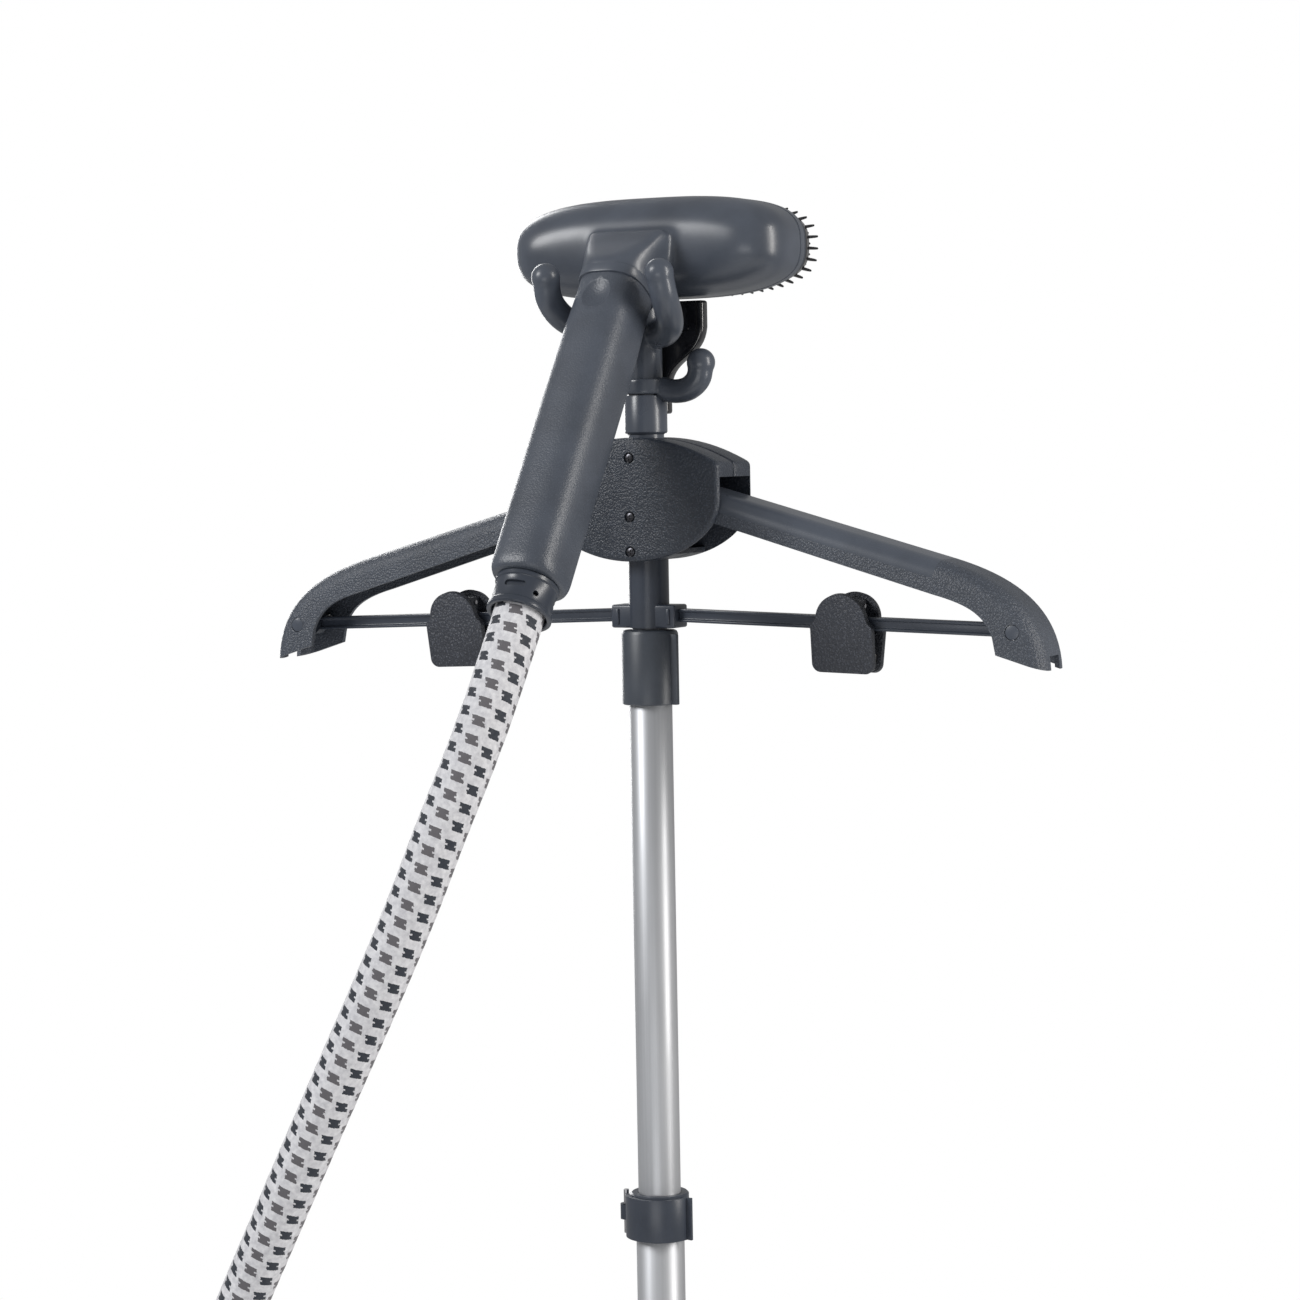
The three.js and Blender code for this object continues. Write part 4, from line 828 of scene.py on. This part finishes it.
# ---------------------------------------------------------------- trouser clips
CLIP_X, CLIP_REACH, CLIP_LEAN = 111.5, 8.6, math.radians(9.5)
CHEEK_X, EAR_X, CHEEK_HALF = 5.2, 7.6, 0.9
PAD_HALF, PAD_RIBS, PAD_FOOT, PAD_PITCH = 13.5, 5, -23.2, 1.6
SPRING_TURNS, SPRING_RADIUS, SPRING_UP, SPRING_STEPS = 5, 2.6, 8.6, 60


def jaw_outline():
    foot, shoulder, disc, low, top, corner = 16.6, 16.6, 13.5, -25.0, 15.0, 4.5
    right = arc(foot - corner, low + corner, corner, corner, -90, 0, 8)
    right += [(shoulder, -3.4)] + bezier((shoulder, -3.4), (shoulder + 0.9, -0.4),
                                         (disc + 1.2, -1.2), (disc, 2.5), 8)
    crown = arc(0, top - disc, disc, disc, 0, 180, 32)
    left = [(-x, z) for x, z in right[::-1]]
    return right + crown + left


def clips():
    run = (BAR_Z - BAR_START_Z) / (BAR_X - BAR_START)
    height = BAR_START_Z + run * (CLIP_X - BAR_START)
    for side, label in ((-1, "left"), (1, "right")):
        seat = (TOP @ Matrix.Translation(Vector((side * CLIP_X, 0, height)) * MM)
                @ Matrix.Rotation(-side * math.atan(run), 4, "Y"))
        for face, part in ((-1, "front"), (1, "rear")):
            plate = seat @ Matrix.Translation(Vector((0, face * CLIP_REACH,
                                                      0)) * MM) @ Matrix.Rotation(
                -face * CLIP_LEAN, 4, "X")
            jaw = bevel(prism(f"clip_{part}_jaw_{label}_plate", jaw_outline(), -1.4, 1.4, "Y",
                              plate), 0.7, 3, 45)
            inward = -face
            rim = prism("rim", jaw_outline(), inward * 1.0, inward * 2.2, "Y", plate)
            inside = prism("inside", [(x * 0.88, z * 0.88 - 0.6) for x, z in jaw_outline()],
                           inward * 0.8, inward * 2.6, "Y", plate)
            rim = carve(rim, inside)
            parts = [jaw, rim]
            if part == "rear":
                for x in (-CHEEK_X, CHEEK_X):
                    parts.append(brick("cheek", (x - CHEEK_HALF, -5.9, -5.8),
                                       (x + CHEEK_HALF, 8.4, 11.5), seat))
                parts.append(brick("saddle", (-CHEEK_X, -5.9, 3.8), (CHEEK_X, 7, 5.6), seat))
            else:
                for x in (-EAR_X, EAR_X):
                    parts.append(brick("ear", (x - CHEEK_HALF, -9.4, 5.8),
                                       (x + CHEEK_HALF, 1.8, 11.4), seat))
            whole = smooth(merge(f"clip_{part}_jaw_{label}_moulding", *parts))
            body = f"clip_jaw_{label}" if part == "front" else f"clip_{label}"
            dress(whole, "coarse_navy", body, "navy", f"clip_{part}_jaw_{label}")
            ribs = []
            near, far = sorted((inward * 2.4, inward * 4.1))
            for i in range(PAD_RIBS):
                z = PAD_FOOT + i * PAD_PITCH
                ribs.append(brick("pad_rib", (-PAD_HALF, near, z - 0.55), (PAD_HALF, far, z + 0.55),
                                  plate))
            near, far = sorted((inward * 1.3, inward * 3.2))
            ribs.append(brick("pad_back", (-PAD_HALF, near, -23.9), (PAD_HALF, far, -16.1), plate))
            pad = smooth(merge(f"clip_{part}_pad_{label}_ribs", *ribs))
            dress(pad, "pale_plastic", body, "pale", f"clip_{part}_pad_{label}")
        angles = [SPRING_TURNS * 2 * math.pi * i / SPRING_STEPS for i in range(SPRING_STEPS + 1)]
        coil = [(-4 + 8 * i / SPRING_STEPS, SPRING_RADIUS * math.cos(a),
                 SPRING_UP + SPRING_RADIUS * math.sin(a)) for i, a in enumerate(angles)]
        spring = smooth(sweep(f"clip_spring_{label}", coil, 0.4, 8, seat), 60)
        dress(spring, "steel", f"clip_{label}", "steel")


# ---------------------------------------------------------------- holder
HORN_WIDE, HORN_BALL = 6.9, 7.4    # radii of a horn and of its tip
HOOK_TIP, HOOK_BALL = (32, 0, 69.4), 7.3
STUD_X, LINE_X = 17, 23.6          # grooves in the rear support


def holder():
    sleeve = turned("holder_sleeve_moulding", [
        (0, 25.2), (11.5, 25.2), (11.5, 28.2), (9.2, 28.4), (9.2, 33.4), (9.8, 34), (10.4, 34),
        (11, 34.8),
        (11, 52.4), (10.5, 53.4), (9.3, 53.4), (9.3, 40), (0, 40)], TOP, 72)
    dress(smooth(sleeve), "satin_slate", "top", "slate", "holder_sleeve")
    post = turned("post", [(0, 40.4), (9, 40.4), (9, 98), (8, 101), (6, 102.4), (0, 102.4)], TOP,
                  48)
    parts = [post]
    for side in (-1, 1):
        tip = (side * 32, -45, 113)
        path = spline([(0, 2, 85), (side * 12, -5, 84), (side * 23, -17, 87), (side * 30, -31, 93),
                       (side * 32.4, -41, 102), tip], 12)
        parts.append(sweep("horn", path, HORN_WIDE, 28))
        parts.append(globe("horn_tip", HORN_BALL, tip))
    cradle = melt(merge("cradle_moulding", *parts), 1.0, 8)
    dress(cradle, "satin_slate", "top", "slate", "cradle")
    path = spline([(9, 0, 57), (17, 0, 55.2), (25, 0, 56.6), (30.5, 0, 61.5), HOOK_TIP], 12)
    ring = turned("ring", [(9.3, 53.9), (11.4, 53.9), (11.6, 54.4), (11.6, 61.5), (11.2, 62),
                           (9.3, 62), (9.3, 53.9)],
                  TOP, 64)
    rod = sweep("rod", path, lambda t: 6.0 + 0.5 * t, 28)
    hook = merge("side_hook_rod", rod, globe("tip", HOOK_BALL, HOOK_TIP), ring)
    hook = melt(hook, 0.8, 6)
    carve(hook, cylinder("bore", 9.2, 30, 99, TOP, 64))
    dress(smooth(hook, 40), "satin_slate", "top", "slate", "side_hook")
    half, neck, front, back = 27.0, 6.0, 12.7, 19.4
    right = [(neck, 44), (neck, 56)] + bezier((neck, 56), (neck + 1, 74), (half - 2, 70),
                                              (half, 88), 18) + [(half, 101.5)]
    outline = right + [(-x, z) for x, z in right[::-1]]
    plate = bevel(prism("rear_support_plate", outline, front, back, "Y"), 1.4, 4, 45)
    for side in (-1, 1):
        x = side * STUD_X
        carve(plate, brick("groove", (x - 2.2, front - 1, 86), (x + 2.2, front + 1.4, 110)))
        x = side * LINE_X
        carve(plate, brick("line", (x - 0.5, front - 1, 84), (x + 0.5, front + 0.8, 110)))
    studs = [peg("stud", 1.5, front + 0.4, front + 2, side * STUD_X, 88, 24) for side in (-1, 1)]
    spine = bevel(brick("spine", (-3, front - 2.2, 64), (3, front + 1, 96)), 0.5, 2)
    dress(smooth(merge("rear_support_moulding", plate, spine, *studs)), "gloss_black", "top",
          "gloss_black", "rear_support")


# ---------------------------------------------------------------- steam head
HEAD_HALF, HEAD_LOW, HEAD_HIGH, HEAD_BACK, HEAD_FRONT = 77.0, 103.0, 154.6, -12.0, 31.0
HEAD_MID = (HEAD_LOW + HEAD_HIGH) / 2
HEAD_ROUND, HEAD_SEAM = 22.0, 25.0  # back edge's radius; where the front rim starts
HOLE_ROWS, HOLE_STEP, HOLE_RISE, HOLE_RADIUS = (-1, 0, 1), 13, 9, 1.7
BRUSH_TALL, BRISTLE_LANES, BRISTLE_COUNT = 7.5, (3.9, 6.2, 8.5), 60
HEAD_POWER = 3.0                   # superellipse power of the head's front outline


def head_ring(inset, y, count=112):
    """The head's outline at one depth, inset evenly."""
    half, tall = HEAD_HALF - inset, (HEAD_HIGH - HEAD_LOW) / 2 - inset
    ring = []
    for k in range(count):
        a = 2 * math.pi * (k + 0.5) / count
        c, s = math.cos(a), math.sin(a)
        ring.append((half * math.copysign(abs(c) ** (2 / HEAD_POWER), c), y,
                     HEAD_MID + tall * math.copysign(abs(s) ** (2 / HEAD_POWER), s)))
    return ring


def loft(name, rings, place=TOP, closed=True):
    """A skin over rings of points; closed puts a face on each end."""
    count, sides = len(rings), len(rings[0])
    faces = skin(count, sides) + (caps(count, sides) if closed else [])
    return from_lists(name, [p for ring in rings for p in ring], faces, place)


def head():
    round_over, seam = HEAD_ROUND, HEAD_SEAM
    rings = []
    for i in range(17):
        a = math.radians(90 * i / 16)
        rings.append(head_ring(round_over * (1 - math.sin(a)), HEAD_BACK
                               + round_over * (1 - math.cos(a))))
    rings.append(head_ring(0, seam + 4))
    back = loft("back", rings)
    neck = loft("neck", [[(x * wide, y * deep, h) for x, y, _ in grip_section(150)]
                         for wide, deep, h in ((1.035, 1.035, 174.5), (1.06, 1.04, 180),
                                               (1.16, 1.03, 190), (1.3, 0.9, 202),
                                               (1.3, 0.8, 206))], HANDLE)
    carve(neck, prism("ramp", [(-47, 119), (-28, 130), (-12, 141), (-3, 150), (-3, 220), (-90, 220),
                               (-90, 119)], -80, 80, "X"))
    shell = melt(merge("head_shell_moulding", back, neck), 1.1, 60)
    carve(shell, brick("ahead", (-100, seam, 60), (100, 90, 200)))
    lip = loft("lip", [[(x * f, y * f, h) for x, y, _ in grip_section(150)]
                       for f, h in ((0.985, 171.4), (1.03, 171.6), (1.042, 172.4), (1.042, 176.5),
                                    (0.9, 177))], HANDLE)
    rim = loft("rim", [head_ring(0.5, seam - 0.5), head_ring(0.5, seam + 0.25),
                       head_ring(0, seam + 0.6),
                       head_ring(0, HEAD_FRONT - 1.2), head_ring(0.5, HEAD_FRONT),
                       head_ring(3, HEAD_FRONT),
                       head_ring(3, HEAD_FRONT - 3)])
    shell = merge("head_shell_moulding", shell, lip, rim)
    dress(smooth(shell, 40), "satin_slate", "head", "slate", "head_shell")
    ring_front = HEAD_FRONT + 4
    outer = [head_ring(1.6, HEAD_FRONT + 0.3), head_ring(1.3, HEAD_FRONT + 1.2),
             head_ring(1.3, ring_front - 0.8),
             head_ring(2.0, ring_front), head_ring(4.6, ring_front),
             head_ring(4.6, HEAD_FRONT + 0.3),
             head_ring(1.6, HEAD_FRONT + 0.3)]
    dress(smooth(loft("trim_ring_moulding", outer, TOP, False), 40), "satin_navy", "head", "pale",
          "trim_ring")
    plate = loft("steam_plate_face", [head_ring(5.0, HEAD_FRONT + 0.3),
                                      head_ring(5.0, ring_front - 1.0),
                                      head_ring(6.2, ring_front)])
    holes = []
    for row in HOLE_ROWS:
        for i in range(9 if row else 8):
            x = (i - (4 if row else 3.5)) * HOLE_STEP
            z = HEAD_MID + row * HOLE_RISE
            holes.append(peg("hole", HOLE_RADIUS, HEAD_FRONT + 1.5, HEAD_FRONT + 9, x, z, 20))
    drill = merge("drill", *holes)
    dress(smooth(carve(plate, drill), 30), "steel", "head", "steel", "steam_plate")
    brush_face = ring_front + 0.3
    brush_top = brush_face + BRUSH_TALL
    rim = loft("brush_rim", [
        head_ring(2.6, brush_face), head_ring(2.2, brush_face + 1.5), head_ring(2.8, brush_top - 1),
        head_ring(4.0, brush_top), head_ring(10.4, brush_top), head_ring(11.2, brush_top - 1),
        head_ring(11.2, brush_face), head_ring(2.6, brush_face)], TOP, False)
    parts = [rim]
    for lane, inset in enumerate(BRISTLE_LANES):
        path = [Vector(p) for p in head_ring(inset, brush_top, 40)]
        path.append(path[0])
        total = line_length(path)
        step = total / BRISTLE_COUNT
        walked, target = 0.0, step * 0.5 * (lane % 2)
        for a, b in zip(path, path[1:]):
            gap = (b - a).length
            while gap > 0 and walked + gap >= target and target < total:
                at = a.lerp(b, (target - walked) / gap)
                lean = Vector((at.x * 0.006, 0, (at.z - HEAD_MID) * 0.014))
                parts.append(bristle(at, lean * (1.6 if lane == 0 else 0.6)))
                target += step
            walked += gap
    dress(smooth(merge("brush_moulding", *parts), 50), "gloss_black", "brush", "gloss_black",
          "brush")


def bristle(at, lean):
    tall, base, tip = 4.6, 1.0, 0.6
    verts = []
    for height, r in ((-0.8, base), (tall * 0.7, base * 0.8), (tall, tip)):
        for k in range(6):
            a = k * math.pi / 3
            verts.append((at.x + lean.x * height + r * math.cos(a), at.y + height,
                          at.z + lean.z * height + r * math.sin(a)))
    return from_lists("bristle", verts, skin(3, 6) + caps(3, 6))


GRIP_SIDES, GRIP_TOP = 72, 176.0
GRIP_POWER = 2 / 2.7               # a squarish oval


def grip_section(t):
    """Half sizes along the grip, t in millimetres up from its lower end; flatter at the front."""
    wide = 18.0 - 0.9 * math.exp(-((t - 165) / 26.0) ** 2)
    deep = 19.0 - 1.2 * math.exp(-((t - 170) / 24.0) ** 2)
    if t < 7:
        lip = 1 - math.sqrt(max(0.0, 1 - ((7 - t) / 7) ** 2)) if t > 0 else 1.0
        wide -= 2.6 * lip
        deep -= 2.6 * lip
    ring = []
    for k in range(GRIP_SIDES):
        a = 2 * math.pi * k / GRIP_SIDES
        c, s = math.cos(a), math.sin(a)
        x = wide * math.copysign(abs(c) ** GRIP_POWER, c)
        y = deep * math.copysign(abs(s) ** GRIP_POWER, s)
        ring.append((x, y, t))
    return ring


def handle():
    heights = [0, 0.6, 1.6, 3, 5, 7] + [7 + 3.2 * i for i in range(1, 55)]
    heights = [h for h in heights if h < GRIP_TOP] + [GRIP_TOP]
    grip = loft("handle_grip_moulding", [grip_section(h) for h in heights], HANDLE)
    carve(grip, globe("thumb", 16, (0, -19 - 12.4, 159), HANDLE, 40))
    smooth(grip, 40)
    dress(grip, "grip_slate", "head", "slate", "handle_grip")
    cuff = turned("hose_cuff_moulding", [
        (13.7, -9), (13.7, -17.6), (14.2, -18), (15.4, -18), (16, -17.4), (16, -15.2),
        (15.6, -14.6), (15.1, -14.2),
        (14.9, -13), (14.9, -3.4), (15.2, -2.9), (15.7, -2.6), (15.7, -0.8), (15.3, -0.35),
        (13.4, -0.35), (13.4, 9),
        (5.3, 9), (5.3, -9), (13.7, -9)], HANDLE, 96)
    for turn in (8, 128, 248):
        spin = HANDLE @ Matrix.Rotation(math.radians(turn), 4, "Z")
        window = rounded(-5.5, 5.5, -9.2, -6.2, 1.4, 5)
        carve(cuff, prism("window", window, -20, -13.0, "Y", spin))
    dot = arc(0, -10.6, 1.5, 1.5, 0, 345, 23)
    carve(cuff, prism("dot", dot, -20, -13.0, "Y",
                      HANDLE @ Matrix.Rotation(math.radians(52), 4, "Z")))
    dress(smooth(cuff, 36), "satin_navy", "head", "navy", "hose_cuff")


# ---------------------------------------------------------------- base and small parts
SOFTENED = {
    "base_pan": ("grip_slate", 2.0), "top_cover": ("satin_slate", 2.4), "water_tank": ("tank", 2.0),
    "tank_cap": ("satin_navy", 0.8), "tank_valve": ("pale_plastic", 0.5),
    "pole_socket": ("satin_navy", 0.8),
    "hose_socket": ("satin_navy", 0.8), "dial": ("gloss_black", 0.6),
    "power_button": ("pale_plastic", 0.6),
    "wheel_left": ("rubber", 1.2), "wheel_right": ("rubber", 1.2), "foot_left": ("rubber", 0.8),
    "foot_right": ("rubber", 0.8), "cable_gland": ("rubber", 0.5), "boiler": ("steel", 1.0),
    "pump": ("gloss_black", 1.0),
    "axle": ("steel", 0.3), "clamp_pin": ("steel", 0.2), "clip_pin_left": ("steel", 0.2),
    "clip_pin_right": ("steel", 0.2),
    "steam_pipe": ("pale_plastic", 0.2), "feed_tube": ("pale_plastic", 0.0),
    "steam_outlet_tube": ("pale_plastic", 0.0),
}


SLOTS = {part["node"]: part["material_slot"] for part in frame["record"]["subparts"]}
NODE_LOOKS = {
    "slate": "satin_slate", "navy": "satin_navy", "gloss_black": "gloss_black",
    "pale": "pale_plastic",
    "pole_metal": "tube", "steel": "steel", "tank_clear": "tank", "hose_weave": "pale_plastic",
    "rubber": "rubber",
}


def soften_all():
    """Rounds the edges of the base's mouldings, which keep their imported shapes."""
    bodies = {node: body for body, nodes in frame["record"]["behaviour"]["bodies"].items()
              for node in nodes}
    for node, (material, width) in SOFTENED.items():
        source = frame["nodes"][node]
        mesh = source.data.copy()
        mesh.transform(source.matrix_world)
        work = bmesh.new()
        work.from_mesh(mesh)
        bmesh.ops.remove_doubles(work, verts=work.verts, dist=5e-6)
        bmesh.ops.dissolve_limit(work, angle_limit=math.radians(0.6), verts=work.verts,
                                 edges=work.edges)
        work.to_mesh(mesh)
        work.free()
        piece = new_object(node + "_moulding", mesh)
        if width:
            bevel(piece, width, 3, 50)
        smooth(piece, 40)
        mod = piece.modifiers.new("flat faces", "WEIGHTED_NORMAL")
        mod.keep_sharp = True
        mod.weight = 100
        dress(bake(piece), material, bodies[node], SLOTS[node], node)


def dress_nodes():
    """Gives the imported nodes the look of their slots, beneath the pieces that stand for them."""
    for node, thing in frame["nodes"].items():
        for holds in thing.material_slots:
            holds.material = MATERIALS[NODE_LOOKS[SLOTS[node]]]


for build in (camera, studio, hose, pole, collar, hub, screws, arms, stem, clips, holder, head,
              handle,
              soften_all, dress_nodes):
    build()
